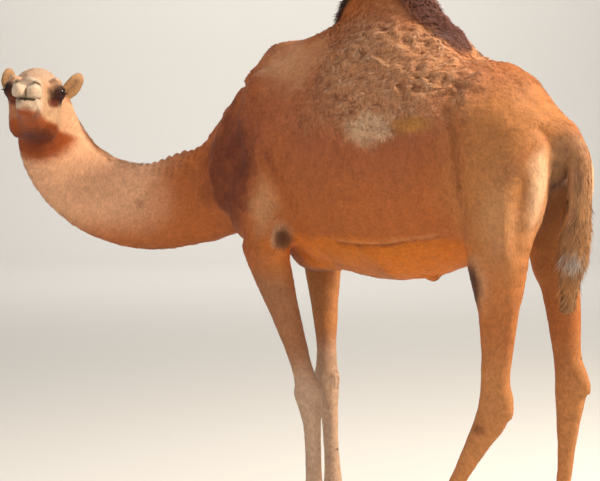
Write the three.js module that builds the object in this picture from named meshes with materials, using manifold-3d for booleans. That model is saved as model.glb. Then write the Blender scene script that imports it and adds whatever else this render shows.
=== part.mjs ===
// A one-humped camel (dromedary) at life size, in millimetres, +Z up, standing on Z = 0. It faces -X, with
// its left side towards -Y, and has turned its neck and head to its left. The body is one smooth form made of
// rounded lumps that run into each other; it is meshed piece by piece and parted with thin flat cuts.
import * as THREE from 'three';
import { mergeVertices } from 'three/addons/utils/BufferGeometryUtils.js';
import Module from 'manifold-3d';

const wasm = await Module();
wasm.setup();

// ---------------------------------------------------------------- driving sizes
const CUT = 0.3; // width of every cut between two pieces
const SIDES = { left: -1, right: 1 };

// The trunk and the neck, by place along the body (x), height (z), half breadth (wide) and half depth (deep).
const BARREL = [
  { x: -590, z: 1285, wide: 120, deep: 150 },
  { x: -500, z: 1345, wide: 172, deep: 262 },
  { x: -380, z: 1362, wide: 212, deep: 348 },
  { x: -200, z: 1360, wide: 258, deep: 393 },
  { x: -20, z: 1356, wide: 292, deep: 405 },
  { x: 140, z: 1361, wide: 284, deep: 372 },
  { x: 280, z: 1383, wide: 240, deep: 307 },
  { x: 400, z: 1397, wide: 176, deep: 236 },
  { x: 478, z: 1346, wide: 116, deep: 160 },
];
const WITHERS = [
  { x: -600, z: 1577, wide: 56, deep: 105 },
  { x: -500, z: 1642, wide: 66, deep: 118 },
  { x: -400, z: 1666, wide: 80, deep: 125 },
  { x: -280, z: 1672, wide: 95, deep: 130 },
];
const HUMP = [
  { x: -48, z: 1640, long: 262, wide: 185 },
  { x: -80, z: 1765, long: 213, wide: 135 },
  { x: -118, z: 1858, long: 172, wide: 95 },
];
const NECK = [
  // turn is how far the neck's own direction has swung to the left, in degrees
  { x: -430, y: 0, z: 1400, turn: 0, wide: 150, deep: 270 },
  { x: -597, y: -4, z: 1353, turn: 4, wide: 132, deep: 250 },
  { x: -692, y: -20, z: 1287, turn: 12, wide: 116, deep: 208 },
  { x: -786, y: -48, z: 1233, turn: 20, wide: 106, deep: 183 },
  { x: -880, y: -92, z: 1202, turn: 28, wide: 99, deep: 173 },
  { x: -1010, y: -176, z: 1165, turn: 38, wide: 92, deep: 160 },
  { x: -1134, y: -290, z: 1198, turn: 46, wide: 87, deep: 152 },
  { x: -1203, y: -388, z: 1282, turn: 54, wide: 82, deep: 141 },
  { x: -1216, y: -460, z: 1375, turn: 62, wide: 79, deep: 130 },
  { x: -1208, y: -500, z: 1455, turn: 80, wide: 83, deep: 118 },
  { x: -1199, y: -514, z: 1530, turn: 112, wide: 81, deep: 108 },
];

// Lumps of flesh on the trunk: middle, half sizes, width of blend, and how far each leans forward at the top,
// in degrees. The paired ones are on both sides.
const TRUNK_PAIRS = {
  shoulderBlade: { at: [-468, 135, 1400], radii: [120, 78, 270], blend: 60, lean: 14 },
  shoulderPoint: { at: [-612, 118, 1300], radii: [92, 58, 185], blend: 34, lean: 6 },
  upperArm: { at: [-530, 136, 1190], radii: [125, 80, 150], blend: 50, lean: 0 },
  elbowMuscle: { at: [-440, 165, 1110], radii: [92, 62, 110], blend: 40, lean: 0 },
  croup: { at: [350, 80, 1466], radii: [115, 85, 90], blend: 60, lean: 0 },
  hipPoint: { at: [330, 150, 1475], radii: [66, 46, 56], blend: 50, lean: 0 },
};
const TRUNK_MIDDLE = {
  breast: { at: [-600, 0, 1215], radii: [95, 120, 120], blend: 70 },
  breastbone: { at: [-375, 0, 1040], radii: [125, 88, 72], blend: 50 },
};

// The legs. Each stands on its foot (x, y); a lean is how far a bone's top goes forward of its foot, in
// degrees, and spread is how far the bone's top goes outwards.
const FORE = { foot: 172, cannon: 370, forearm: 535 };
const HIND = { foot: 185, cannon: 455, gaskin: 440 };
const LEGS = {
  fore_left: { bones: FORE, x: -288, y: 112, pastern: 4, cannon: 3.1, upper: 14.5, spread: 8 },
  fore_right: { bones: FORE, x: -410, y: 112, pastern: -4, cannon: 4.5, upper: 8, spread: 8 },
  hind_left: { bones: HIND, x: 158, y: 118, pastern: -12, cannon: -29, upper: -4, spread: 4 },
  hind_right: { bones: HIND, x: 494, y: 118, pastern: -8, cannon: -3.5, upper: 10, spread: 4 },
};

// The head, by its own axes: x forward from the middle between the eyes, y to its left, z up.
const HEAD = { x: -1124, y: -628, z: 1578, turn: 136, lift: 15, roll: 4 };
// A toenail: its half sizes (long, wide, thick), and how it sits on the toe, tipped in degrees.
const NAIL = { radii: [20, 24, 17], tip: 25, back: 14, lift: 12, sole: 3 };
const EYE = { y: 80, r: 21 }; // out from the middle of the head, and its radius
const HEAD_BALLS = [
  { at: [-88, 0, 33], radii: [98, 82, 73], blend: 30 }, // braincase
  { at: [-140, 0, -20], radii: [78, 72, 92], blend: 40 }, // back of the head
  { at: [258, 0, -127], radii: [28, 32, 19], blend: 12 }, // lower lip
  { at: [232, 0, -140], radii: [30, 26, 17], blend: 14 }, // chin
];
const HEAD_PAIRS = [
  { at: [-6, 69, 2], radii: [42, 27, 36], blend: 22 }, // eye bulge
  { at: [-8, 72, 36], radii: [44, 20, 16], blend: 16 }, // brow
  { at: [-70, 57, -72], radii: [74, 33, 78], blend: 28 }, // cheek
  { at: [260, 25, -83], radii: [36, 29, 27], blend: 10 }, // upper lip
  { at: [244, 28, -56], radii: [34, 18, 17], blend: 14 }, // nostril
];
const HEAD_RODS = [
  {
    // nose
    blend: 30,
    stations: [
      { x: -30, z: 18, wide: 60, deep: 46 },
      { x: 40, z: 2, wide: 50, deep: 42 },
      { x: 120, z: -26, wide: 38, deep: 38 },
      { x: 190, z: -50, wide: 33, deep: 36 },
      { x: 240, z: -68, wide: 32, deep: 30 },
    ],
  },
  {
    // upper jaw
    blend: 20,
    stations: [
      { x: 0, z: -45, wide: 62, deep: 60 },
      { x: 100, z: -62, wide: 44, deep: 50 },
      { x: 200, z: -84, wide: 36, deep: 40 },
      { x: 242, z: -92, wide: 33, deep: 31 },
    ],
  },
  {
    // lower jaw
    blend: 25,
    stations: [
      { x: -100, z: -88, wide: 64, deep: 68 },
      { x: -20, z: -92, wide: 60, deep: 60 },
      { x: 70, z: -98, wide: 46, deep: 46 },
      { x: 150, z: -108, wide: 37, deep: 35 },
      { x: 225, z: -120, wide: 32, deep: 26 },
    ],
  },
];
// The ears, from root to tip. The left one hangs out more than the right.
const EARS = {
  1: [
    { x: -100, y: 76, z: 6, wide: 21, deep: 18 },
    { x: -106, y: 112, z: 44, wide: 32, deep: 15 },
    { x: -112, y: 133, z: 84, wide: 28, deep: 13 },
    { x: -114, y: 138, z: 102, wide: 17, deep: 11 },
  ],
  '-1': [
    { x: -100, y: -74, z: 14, wide: 21, deep: 18 },
    { x: -106, y: -99, z: 50, wide: 30, deep: 15 },
    { x: -112, y: -105, z: 84, wide: 26, deep: 13 },
    { x: -114, y: -106, z: 100, wide: 17, deep: 11 },
  ],
};

// ---------------------------------------------------------------- rounded lumps
const rad = THREE.MathUtils.degToRad;
const vec = (x, y, z) => new THREE.Vector3(x, y, z);
const UP = vec(0, 0, 1);
const ACROSS = vec(0, 1, 0);

// Roughly how far a point is outside an ellipse or ellipsoid, from its offsets and the radii.
function outside(offsets, radii) {
  let near = 0;
  let steep = 0;
  for (let i = 0; i < 3; i++) {
    const share = offsets[i] / radii[i];
    near += share * share;
    steep += (share / radii[i]) ** 2;
  }
  near = Math.sqrt(near);
  steep = Math.sqrt(steep);
  return steep < 1e-9 ? -Math.min(...radii) : (near * (near - 1)) / steep;
}

// Values between the given ones, on one smooth curve through them.
function smoothed(stations, steps) {
  const keys = Object.keys(stations[0]);
  const made = [];
  const at = (i) => stations[Math.max(0, Math.min(stations.length - 1, i))];
  for (let i = 0; i < stations.length - 1; i++) {
    for (let s = 0; s < steps; s++) {
      const t = s / steps;
      const station = {};
      for (const key of keys) {
        const [a, b, c, d] = [at(i - 1)[key], at(i)[key], at(i + 1)[key], at(i + 2)[key]];
        station[key] =
          b + 0.5 * t * (c - a + t * (2 * a - 5 * b + 4 * c - d + t * (3 * (b - c) + d - a)));
      }
      made.push(station);
    }
  }
  made.push({ ...stations.at(-1) });
  return made;
}

// A limb: an elliptic rod through stations {x, y, z, side, wide, deep}, wide across `side` and deep at right
// angles to it.
function limb(stations, blend) {
  const spans = [];
  const box = new THREE.Box3();
  for (const s of stations) {
    const reach = Math.max(s.wide, s.deep);
    box.expandByPoint(vec(s.x - reach, s.y - reach, s.z - reach));
    box.expandByPoint(vec(s.x + reach, s.y + reach, s.z + reach));
  }
  for (let i = 0; i < stations.length - 1; i++) {
    const [a, b] = [stations[i], stations[i + 1]];
    const axis = vec(b.x - a.x, b.y - a.y, b.z - a.z);
    const length = axis.length();
    axis.divideScalar(length);
    const side = a.side.clone().add(b.side);
    side.addScaledVector(axis, -side.dot(axis)).normalize();
    spans.push({ a, b, axis, length, side });
  }
  const field = (x, y, z) => {
    let best = Infinity;
    for (const { a, b, axis, length, side } of spans) {
      const [px, py, pz] = [x - a.x, y - a.y, z - a.z];
      const t = Math.max(0, Math.min(1, (px * axis.x + py * axis.y + pz * axis.z) / length));
      const [wx, wy, wz] = [px - t * length * axis.x, py - t * length * axis.y, pz - t * length * axis.z];
      const out = wx * side.x + wy * side.y + wz * side.z;
      const along = wx * axis.x + wy * axis.y + wz * axis.z;
      const rest = Math.sqrt(Math.max(0, wx * wx + wy * wy + wz * wz - out * out - along * along));
      const wide = a.wide + t * (b.wide - a.wide);
      const deep = a.deep + t * (b.deep - a.deep);
      best = Math.min(best, outside([out, rest, along], [wide, deep, Math.min(wide, deep)]));
    }
    return best;
  };
  return { field, box, blend };
}

// An ellipsoid at a place, with radii along its own axes, which a quaternion may turn.
function blob(centre, radii, blend, turn = new THREE.Quaternion()) {
  const back = turn.clone().invert();
  const reach = Math.max(...radii);
  const p = vec(0, 0, 0);
  const field = (x, y, z) => {
    p.set(x - centre.x, y - centre.y, z - centre.z).applyQuaternion(back);
    return outside([p.x, p.y, p.z], radii);
  };
  const box = new THREE.Box3().setFromCenterAndSize(centre, vec(2 * reach, 2 * reach, 2 * reach));
  return { field, box, blend };
}

// The lumps run together, each with its own width of blend.
function joined(lumps) {
  const p = vec(0, 0, 0);
  return (x, y, z) => {
    let d = 1e4;
    p.set(x, y, z);
    for (const { field, box, blend } of lumps) {
      if (box.distanceToPoint(p) > d + blend) continue;
      const e = field(x, y, z);
      const mix = Math.max(0, blend - Math.abs(d - e)) / blend;
      d = Math.min(d, e) - (mix * mix * blend) / 4;
    }
    return d;
  };
}

// ---------------------------------------------------------------- trunk and neck
const along = (stations) => stations.map((s) => ({ y: 0, ...s }));
const withSide = (stations, side) => stations.map((s) => ({ ...s, side: side(s) }));

function trunkLumps() {
  const barrel = limb(withSide(smoothed(along(BARREL), 3), () => ACROSS), 60);
  const withers = limb(withSide(smoothed(along(WITHERS), 3), () => ACROSS), 90);
  const hump = limb(
    withSide(
      smoothed(HUMP, 3).map((s) => ({ x: s.x, y: 0, z: s.z, wide: s.wide, deep: s.long })),
      () => ACROSS,
    ),
    70,
  );
  const lumps = [barrel, withers, hump];
  for (const { at: [x, y, z], radii, blend, lean } of Object.values(TRUNK_PAIRS)) {
    const turn = new THREE.Quaternion().setFromAxisAngle(ACROSS, rad(-lean));
    for (const out of Object.values(SIDES)) lumps.push(blob(vec(x, out * y, z), radii, blend, turn));
  }
  for (const { at, radii, blend } of Object.values(TRUNK_MIDDLE)) lumps.push(blob(vec(...at), radii, blend));
  return lumps;
}

function neckLumps() {
  const side = (s) => vec(-Math.sin(rad(s.turn)), Math.cos(rad(s.turn)), 0);
  return [limb(withSide(smoothed(NECK, 3), side), 50)];
}

// ---------------------------------------------------------------- legs
// Stations down a fore and a hind leg: which bone, how far down it (0 top, 1 bottom), how far the flesh lies
// forward of the bone, and its half sizes.
const FORE_SHAPE = [
  { bone: 'upper', t: 0.0, fore: 8, wide: 62, deep: 92 },
  { bone: 'upper', t: 0.18, fore: 8, wide: 57, deep: 82 },
  { bone: 'upper', t: 0.45, fore: 3, wide: 47, deep: 58 },
  { bone: 'upper', t: 0.72, fore: -1, wide: 37, deep: 42 },
  { bone: 'upper', t: 0.88, fore: 0, wide: 38, deep: 43 },
  { bone: 'upper', t: 1.0, fore: 6, wide: 44, deep: 53 },
  { bone: 'cannon', t: 0.12, fore: 2, wide: 40, deep: 46 },
  { bone: 'cannon', t: 0.3, fore: -3, wide: 29, deep: 37 },
  { bone: 'cannon', t: 0.65, fore: -3, wide: 28, deep: 35 },
  { bone: 'cannon', t: 1.0, fore: 0, wide: 36, deep: 38 },
  { bone: 'foot', t: 0.35, fore: 6, wide: 37, deep: 37 },
  { bone: 'foot', t: 0.72, fore: 16, wide: 52, deep: 48 },
];
const HIND_SHAPE = [
  { bone: 'upper', t: 0.0, fore: 4, wide: 62, deep: 76 },
  { bone: 'upper', t: 0.2, fore: -4, wide: 54, deep: 74 },
  { bone: 'upper', t: 0.45, fore: -6, wide: 43, deep: 62 },
  { bone: 'upper', t: 0.75, fore: -4, wide: 36, deep: 52 },
  { bone: 'upper', t: 0.93, fore: -6, wide: 37, deep: 57 },
  { bone: 'cannon', t: 0.06, fore: -5, wide: 37, deep: 56 },
  { bone: 'cannon', t: 0.22, fore: -4, wide: 31, deep: 45 },
  { bone: 'cannon', t: 0.5, fore: -3, wide: 26, deep: 31 },
  { bone: 'cannon', t: 0.75, fore: -2, wide: 25, deep: 28 },
  { bone: 'cannon', t: 1.0, fore: 0, wide: 32, deep: 33 },
  { bone: 'foot', t: 0.35, fore: 6, wide: 33, deep: 33 },
  { bone: 'foot', t: 0.74, fore: 14, wide: 47, deep: 43 },
];

// Lumps on a foreleg, placed from its knee or from its top, and on a hind leg from its hock. The y offset
// goes outwards.
const FORE_LUMPS = {
  kneePad: { joint: 'knee', off: [-44, 0, 4], radii: [18, 26, 38], blend: 14 },
  backOfKnee: { joint: 'knee', off: [36, 0, 26], radii: [18, 22, 34], blend: 16 },
  elbow: { joint: 'top', off: [62, 12, 8], radii: [38, 40, 58], blend: 24 },
};
const HOCK_POINT = { off: [48, 0, 30], radii: [20, 21, 56], blend: 18, lean: 14 };

// The thigh, as a rod from the hip down to below the stifle, and the buttock behind it.
const HIP = { x: 395, y: 105, z: 1400 };
const THIGH = { blend: 45, wide: [88, 100, 80, 62], deep: [112, 132, 98, 72] };
const BUTTOCK = { at: [500, 106, 1288], radii: [86, 72, 165], blend: 50, further: [28, 14, 0] };

// A foot: its toe pads and heel pad, from the sole's middle. A hind foot is smaller.
const PAD = { fore: 36, apart: 42, lift: 14, radii: [90, 45, 38], turn: 9, blend: 12 };
const HEEL = { off: [14, 0, 20], radii: [74, 70, 40], blend: 22 };
const HIND_FOOT = 0.9;

// Where a leg's joints are, from the floor up.
function jointsOf(name) {
  const leg = LEGS[name];
  const out = name.endsWith('left') ? -1 : 1;
  const rise = (from, length, lean, spread) => {
    const up = vec(-Math.sin(rad(lean)), out * Math.sin(rad(spread)), Math.cos(rad(lean)));
    return from.clone().addScaledVector(up.normalize(), length);
  };
  const sole = vec(leg.x, out * leg.y, 0);
  const fetlock = rise(sole, leg.bones.foot, leg.pastern, 0);
  const knee = rise(fetlock, leg.bones.cannon, leg.cannon, 0);
  const top = rise(knee, leg.bones.forearm ?? leg.bones.gaskin, leg.upper, leg.spread);
  return { upper: [top, knee], cannon: [knee, fetlock], foot: [fetlock, sole], out };
}

// A toe's pad: its middle, half sizes and how it turns outwards.
const toeOf = (sole, toe, big) => ({
  at: vec(sole.x - PAD.fore * big, sole.y + toe * PAD.apart * big, PAD.lift),
  radii: [PAD.radii[0] * big, PAD.radii[1] * big, PAD.radii[2]],
  spin: new THREE.Quaternion().setFromAxisAngle(UP, rad(-PAD.turn * toe)),
});

function legLumps(name) {
  const joints = jointsOf(name);
  const isFore = name.startsWith('fore');
  const stations = (isFore ? FORE_SHAPE : HIND_SHAPE).map((s) => {
    const [a, b] = joints[s.bone];
    const p = a.clone().lerp(b, s.t);
    return { x: p.x - s.fore, y: p.y, z: p.z, wide: s.wide, deep: s.deep };
  });
  const lumps = [limb(withSide(smoothed(stations, 3), () => ACROSS), 30)];
  const [sole, out] = [joints.foot[1], joints.out];
  const big = isFore ? 1 : HIND_FOOT;
  const from = (place, off) => vec(place.x + off[0], place.y + out * off[1], place.z + off[2]);
  for (const toe of [-1, 1]) {
    const { at, radii, spin } = toeOf(sole, toe, big);
    lumps.push(blob(at, radii, PAD.blend, spin));
  }
  const heel = [HEEL.radii[0] * big, HEEL.radii[1] * big, HEEL.radii[2]];
  lumps.push(blob(from(sole, HEEL.off), heel, HEEL.blend));
  const [top, knee] = joints.upper;
  if (isFore) {
    for (const { joint, off, radii, blend } of Object.values(FORE_LUMPS))
      lumps.push(blob(from(joint === 'top' ? top : knee, off), radii, blend));
    return lumps;
  }
  const lean = rad(LEGS[name].upper + HOCK_POINT.lean);
  const tilt = new THREE.Quaternion().setFromAxisAngle(ACROSS, -lean);
  lumps.push(blob(from(knee, HOCK_POINT.off), HOCK_POINT.radii, HOCK_POINT.blend, tilt));
  const hip = vec(HIP.x, out * HIP.y, HIP.z);
  const halfWay = from(hip.clone().lerp(top, 0.5), [8, -6, 20]);
  const thigh = [hip, halfWay, from(top, [0, 0, 30]), from(top, [2, 0, -50])].map((p, i) => {
    return { x: p.x, y: p.y, z: p.z, wide: THIGH.wide[i], deep: THIGH.deep[i] };
  });
  lumps.push(limb(withSide(smoothed(thigh, 3), () => ACROSS), THIGH.blend));
  const shift = out > 0 ? BUTTOCK.further : [0, 0, 0]; // the right hind leg stands further back
  lumps.push(blob(from(vec(...shift), BUTTOCK.at), BUTTOCK.radii, BUTTOCK.blend));
  return lumps;
}

// ---------------------------------------------------------------- head
const headTurn = (() => {
  const [turn, lift] = [rad(HEAD.turn), rad(HEAD.lift)];
  const forward = vec(-Math.cos(turn) * Math.cos(lift), -Math.sin(turn) * Math.cos(lift), Math.sin(lift));
  const left = vec(Math.sin(turn), -Math.cos(turn), 0).applyAxisAngle(forward, rad(-HEAD.roll));
  const axes = new THREE.Matrix4().makeBasis(forward, left, forward.clone().cross(left));
  return new THREE.Quaternion().setFromRotationMatrix(axes);
})();
const headFrame = new THREE.Matrix4().compose(vec(HEAD.x, HEAD.y, HEAD.z), headTurn, vec(1, 1, 1));
const inHead = (x, y, z) => vec(x, y, z).applyMatrix4(headFrame);
const headWay = (x, y, z) => vec(x, y, z).applyQuaternion(headTurn);

function headLumps() {
  const ball = ([x, y, z], radii, blend) => blob(inHead(x, y, z), radii, blend, headTurn);
  const side = headWay(0, 1, 0);
  const lumps = HEAD_BALLS.map(({ at, radii, blend }) => ball(at, radii, blend));
  for (const { stations, blend } of HEAD_RODS) {
    const places = smoothed(stations, 3).map(({ x, z, wide, deep }) => {
      const p = inHead(x, 0, z);
      return { x: p.x, y: p.y, z: p.z, side, wide, deep };
    });
    lumps.push(limb(places, blend));
  }
  for (const { at: [x, y, z], radii, blend } of HEAD_PAIRS)
    for (const s of [-1, 1]) lumps.push(ball([x, s * y, z], radii, blend));
  return lumps;
}

function earLumps(s) {
  const side = headWay(0, 1, 0);
  const stations = EARS[s].map(({ x, y, z, wide, deep }) => {
    const p = inHead(x, y, z);
    return { x: p.x, y: p.y, z: p.z, wide, deep };
  });
  return [limb(withSide(smoothed(stations, 3), () => side), 10)];
}

// ---------------------------------------------------------------- tail
const TAIL = [
  { x: 535, z: 1461, wide: 38, deep: 36 },
  { x: 596, z: 1429, wide: 33, deep: 31 },
  { x: 634, z: 1350, wide: 28, deep: 26 },
  { x: 638, z: 1230, wide: 26, deep: 24 },
  { x: 626, z: 1110, wide: 34, deep: 28 },
  { x: 612, z: 1000, wide: 32, deep: 27 },
  { x: 600, z: 890, wide: 14, deep: 12 },
];
const tailLumps = (first, last) => [
  limb(withSide(smoothed(along(TAIL.slice(first, last)), 3), () => ACROSS), 25),
];

// ---------------------------------------------------------------- meshing
// One closed mesh of the surface where the field is zero, on a grid over a box. Each cell of the grid that the
// surface passes gets one corner of the mesh for each lump of its inside corners. The grid's own axes may be
// turned.
function skinned(solidField, box, step, frame = new THREE.Matrix4()) {
  const here = vec(0, 0, 0);
  const field = (x, y, z) => {
    here.set(x, y, z).applyMatrix4(frame);
    return solidField(here.x, here.y, here.z);
  };
  const size = box.getSize(vec(0, 0, 0));
  const n = [size.x / step[0], size.y / step[1], size.z / step[2]].map((v) => Math.ceil(v) + 1);
  const place = (i, j, k) => [box.min.x + i * step[0], box.min.y + j * step[1], box.min.z + k * step[2]];
  const index = (i, j, k) => (i * n[1] + j) * n[2] + k;
  const value = new Float32Array(n[0] * n[1] * n[2]).fill(Math.min(...step));
  for (let i = 1; i < n[0] - 1; i++)
    for (let j = 1; j < n[1] - 1; j++)
      for (let k = 1; k < n[2] - 1; k++) value[index(i, j, k)] = field(...place(i, j, k));
  const points = [];
  const owner = new Map(); // from 8 * cell + its inside corner to the mesh's point
  const CORNERS = [0, 1, 2, 3, 4, 5, 6, 7];
  for (let i = 0; i < n[0] - 1; i++)
    for (let j = 0; j < n[1] - 1; j++)
      for (let k = 0; k < n[2] - 1; k++) {
        const spot = CORNERS.map((c) => [i + (c & 1), j + ((c >> 1) & 1), k + ((c >> 2) & 1)]);
        const v = spot.map((p) => value[index(...p)]);
        const inside = CORNERS.filter((c) => v[c] < 0);
        if (!inside.length || inside.length === 8) continue;
        const lump = new Map(inside.map((c) => [c, c]));
        for (let pass = 0; pass < 3; pass++)
          for (const c of inside)
            for (const bit of [1, 2, 4])
              if (lump.has(c ^ bit)) lump.set(c, Math.min(lump.get(c), lump.get(c ^ bit)));
        for (const first of new Set(lump.values())) {
          const sum = [0, 0, 0];
          let crossings = 0;
          for (const c of inside)
            for (const bit of [1, 2, 4]) {
              if (lump.get(c) !== first || v[c ^ bit] < 0) continue;
              const t = v[c] / (v[c] - v[c ^ bit]);
              const [pa, pb] = [place(...spot[c]), place(...spot[c ^ bit])];
              for (let m = 0; m < 3; m++) sum[m] += pa[m] + t * (pb[m] - pa[m]);
              crossings++;
            }
          const p = settled(sum.map((q) => q / crossings), field, Math.min(...step));
          for (const c of inside)
            if (lump.get(c) === first) owner.set(8 * index(i, j, k) + c, points.length / 3);
          points.push(...vec(...p).applyMatrix4(frame).toArray());
        }
      }
  const faces = [];
  const gap = (a, b) => Math.hypot(...[0, 1, 2].map((m) => points[3 * a + m] - points[3 * b + m]));
  const quad = (a, b, c, d) =>
    faces.push(...(gap(a, c) < gap(b, d) ? [a, b, c, a, c, d] : [a, b, d, b, c, d]));
  for (let i = 0; i < n[0] - 1; i++)
    for (let j = 0; j < n[1] - 1; j++)
      for (let k = 0; k < n[2] - 1; k++)
        for (let axis = 0; axis < 3; axis++) {
          const from = [i, j, k];
          const next = from.map((v, m) => v + (m === axis ? 1 : 0));
          const inside = value[index(...from)] < 0;
          if (inside === value[index(...next)] < 0) continue;
          const inner = inside ? from : next;
          const [u, w] = [(axis + 1) % 3, (axis + 2) % 3];
          const cell = (du, dw) => {
            const q = [...from];
            q[u] += du;
            q[w] += dw;
            const c = inner.reduce((bits, v, m) => bits | ((v - q[m]) << m), 0);
            return owner.get(8 * index(...q) + c);
          };
          const ring = [cell(-1, -1), cell(0, -1), cell(0, 0), cell(-1, 0)];
          quad(...(inside ? ring : ring.reverse()));
        }
  return solid(points, faces);
}

// A point moved onto the field's zero, by no more than half a step.
function settled(start, field, most) {
  let p = start;
  const h = 0.5;
  for (let turn = 0; turn < 4; turn++) {
    const d = field(...p);
    const slope = [0, 1, 2].map((m) => {
      const [more, less] = [[...p], [...p]];
      more[m] += h;
      less[m] -= h;
      return (field(...more) - field(...less)) / (2 * h);
    });
    const steep = slope.reduce((s, v) => s + v * v, 0);
    if (steep < 1e-6) break;
    p = p.map((v, m) => v - (d * slope[m]) / steep);
  }
  const moved = Math.hypot(...p.map((v, m) => v - start[m]));
  return moved > most * 0.5 ? start.map((v, m) => v + ((p[m] - v) * most * 0.5) / moved) : p;
}

function solid(points, faces) {
  const [vertProperties, triVerts] = [Float32Array.from(points), Uint32Array.from(faces)];
  return new wasm.Manifold(new wasm.Mesh({ numProp: 3, vertProperties, triVerts }));
}

// A three.js geometry as a solid.
function solidOf(geometry) {
  const g = geometry.clone();
  g.deleteAttribute('normal');
  g.deleteAttribute('uv');
  const merged = mergeVertices(g, 1e-3);
  return solid(merged.attributes.position.array, merged.index.array);
}

// ---------------------------------------------------------------- cutting
const FAR = 3000;

// A big block of all that lies beyond a plane, on the side its normal points to, and `gap` further off.
function beyond({ at, to }, gap = CUT / 2) {
  const normal = to.clone().normalize();
  const block = new THREE.BoxGeometry(FAR, FAR, FAR);
  block.applyQuaternion(new THREE.Quaternion().setFromUnitVectors(UP, normal));
  block.translate(...at.clone().addScaledVector(normal, FAR / 2 + gap).toArray());
  return solidOf(block);
}

// The part of space that lies beyond several planes at once.
const corner = (planes, gap = CUT / 2) => planes.map((p) => beyond(p, gap)).reduce((a, b) => a.intersect(b));
const plane = (x, y, z, nx, ny, nz) => ({ at: vec(x, y, z), to: vec(nx, ny, nz) });
const flipped = ({ at, to }) => ({ at, to: to.clone().negate() });
const box = (x0, y0, z0, x1, y1, z1) => new THREE.Box3(vec(x0, y0, z0), vec(x1, y1, z1));

const FLOOR = plane(0, 0, -CUT / 2, 0, 0, 1);
const CUTS = {
  hump: plane(-60, 0, 1745, 0.18, 0, 1),
  neckBase: plane(-652, -8, 1330, -1, -0.14, 0),
  neckMiddle: plane(-945, -133, 1185, -0.82, -0.53, -0.2),
  neckTop: plane(-1170, -338, 1242, -0.45, -0.62, 0.64),
  tail: plane(574, 0, 1441, 0.75, 0, -0.66),
  head: { at: inHead(-43, 0, -198), to: headWay(1, 0, 1) },
};
const earCut = (s) => ({ at: inHead(-100, s * 77, 14), to: headWay(-0.35, s, 0.3) });
// Where the head gives way to an ear: beyond the ear's cut, above one plane and between two more.
const earRoom = (s) => [
  earCut(s),
  { at: inHead(0, 0, -14), to: headWay(0, 0, 1) },
  { at: inHead(-60, 0, 0), to: headWay(-1, 0, 0) },
  { at: inHead(-142, 0, 0), to: headWay(1, 0, 0) },
];

// How far below the knee, the hock and the fetlock a leg is cut.
const CUT_BELOW = { knee: 62, hock: 80, fetlock: 12 };

// The planes that part a leg from the trunk, and those across the leg below it.
function legCuts(name) {
  const joints = jointsOf(name);
  const out = vec(0, joints.out, 0);
  const isFore = name.startsWith('fore');
  const [knee, fetlock] = [joints.cannon[0], joints.foot[0]];
  const inner = { at: vec(0, isFore ? joints.out * 100 : 0, 0), to: out };
  const hip = isFore
    ? [plane(0, 0, 1085, 0, 0, -1), plane(-335, 0, 1085, -1, 0, -0.4), inner]
    : [plane(0, 0, 1150, 0, 0, -1), plane(325, 0, 0, 1, 0, 0), inner];
  const kneeCut = knee.z - (isFore ? CUT_BELOW.knee : CUT_BELOW.hock);
  return {
    top: hip,
    knee: { at: knee.clone().setZ(kneeCut), to: vec(0, 0, -1) },
    fetlock: { at: fetlock.clone().setZ(fetlock.z - CUT_BELOW.fetlock), to: vec(0, 0, -1) },
  };
}

// ---------------------------------------------------------------- the pieces
const SKIN = { color: 0xb27647, roughness: 0.85, metalness: 0 };
const DARK_COAT = { color: 0x6a4429, roughness: 0.9, metalness: 0 };
const MUZZLE = { color: 0xc0a386, roughness: 0.85, metalness: 0 };
const HORN = { color: 0x4a3a2e, roughness: 0.55, metalness: 0 };
const EYEBALL = { color: 0x1c100a, roughness: 0.08, metalness: 0 };

const camel = new THREE.Group();

// Adds one solid to the camel as a named mesh.
function add(name, shape, finish) {
  const mesh = shape.getMesh();
  const geometry = new THREE.BufferGeometry();
  geometry.setAttribute('position', new THREE.BufferAttribute(mesh.vertProperties, 3));
  geometry.setIndex(new THREE.BufferAttribute(mesh.triVerts, 1));
  geometry.computeVertexNormals();
  const made = new THREE.Mesh(geometry, new THREE.MeshStandardMaterial(finish));
  made.name = name;
  camel.add(made);
}

const legNames = Object.keys(LEGS);
const torso = joined([...trunkLumps(), ...neckLumps(), ...legNames.flatMap(legLumps), ...tailLumps(0, 3)]);
const neckAndHead = joined([...trunkLumps(), ...neckLumps(), ...headLumps()]);

// Trunk and hump. The steps of each mesh are as coarse as its form allows.
const STEPS = {
  trunk: [84, 70, 78],
  hump: [58, 48, 52],
  neck: [54, 54, 54],
  head: [27, 23, 24],
  ear: [14, 11, 11],
  upperLeg: [40, 37, 74],
  lowerLeg: [22, 22, 72],
  foot: [36, 28, 25],
  tail: [20, 20, 46],
};
const torsoSolid = skinned(torso, box(-850, -440, 880, 720, 440, 2040), STEPS.trunk);
let trunk = torsoSolid.intersect(beyond(flipped(CUTS.neckBase))).intersect(beyond(flipped(CUTS.hump)));
for (const name of legNames) trunk = trunk.subtract(corner(legCuts(name).top, -CUT / 2));
const tailRoot = [CUTS.tail, plane(566, 0, 0, 1, 0, 0), plane(0, 40, 0, 0, -1, 0), plane(0, -40, 0, 0, 1, 0)];
trunk = trunk.subtract(corner(tailRoot, -CUT / 2));
add('trunk', trunk, SKIN);
const humpBox = box(-420, -300, 1560, 330, 300, 2040);
add('hump', skinned(torso, humpBox, STEPS.hump).intersect(beyond(CUTS.hump)), DARK_COAT);

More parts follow.
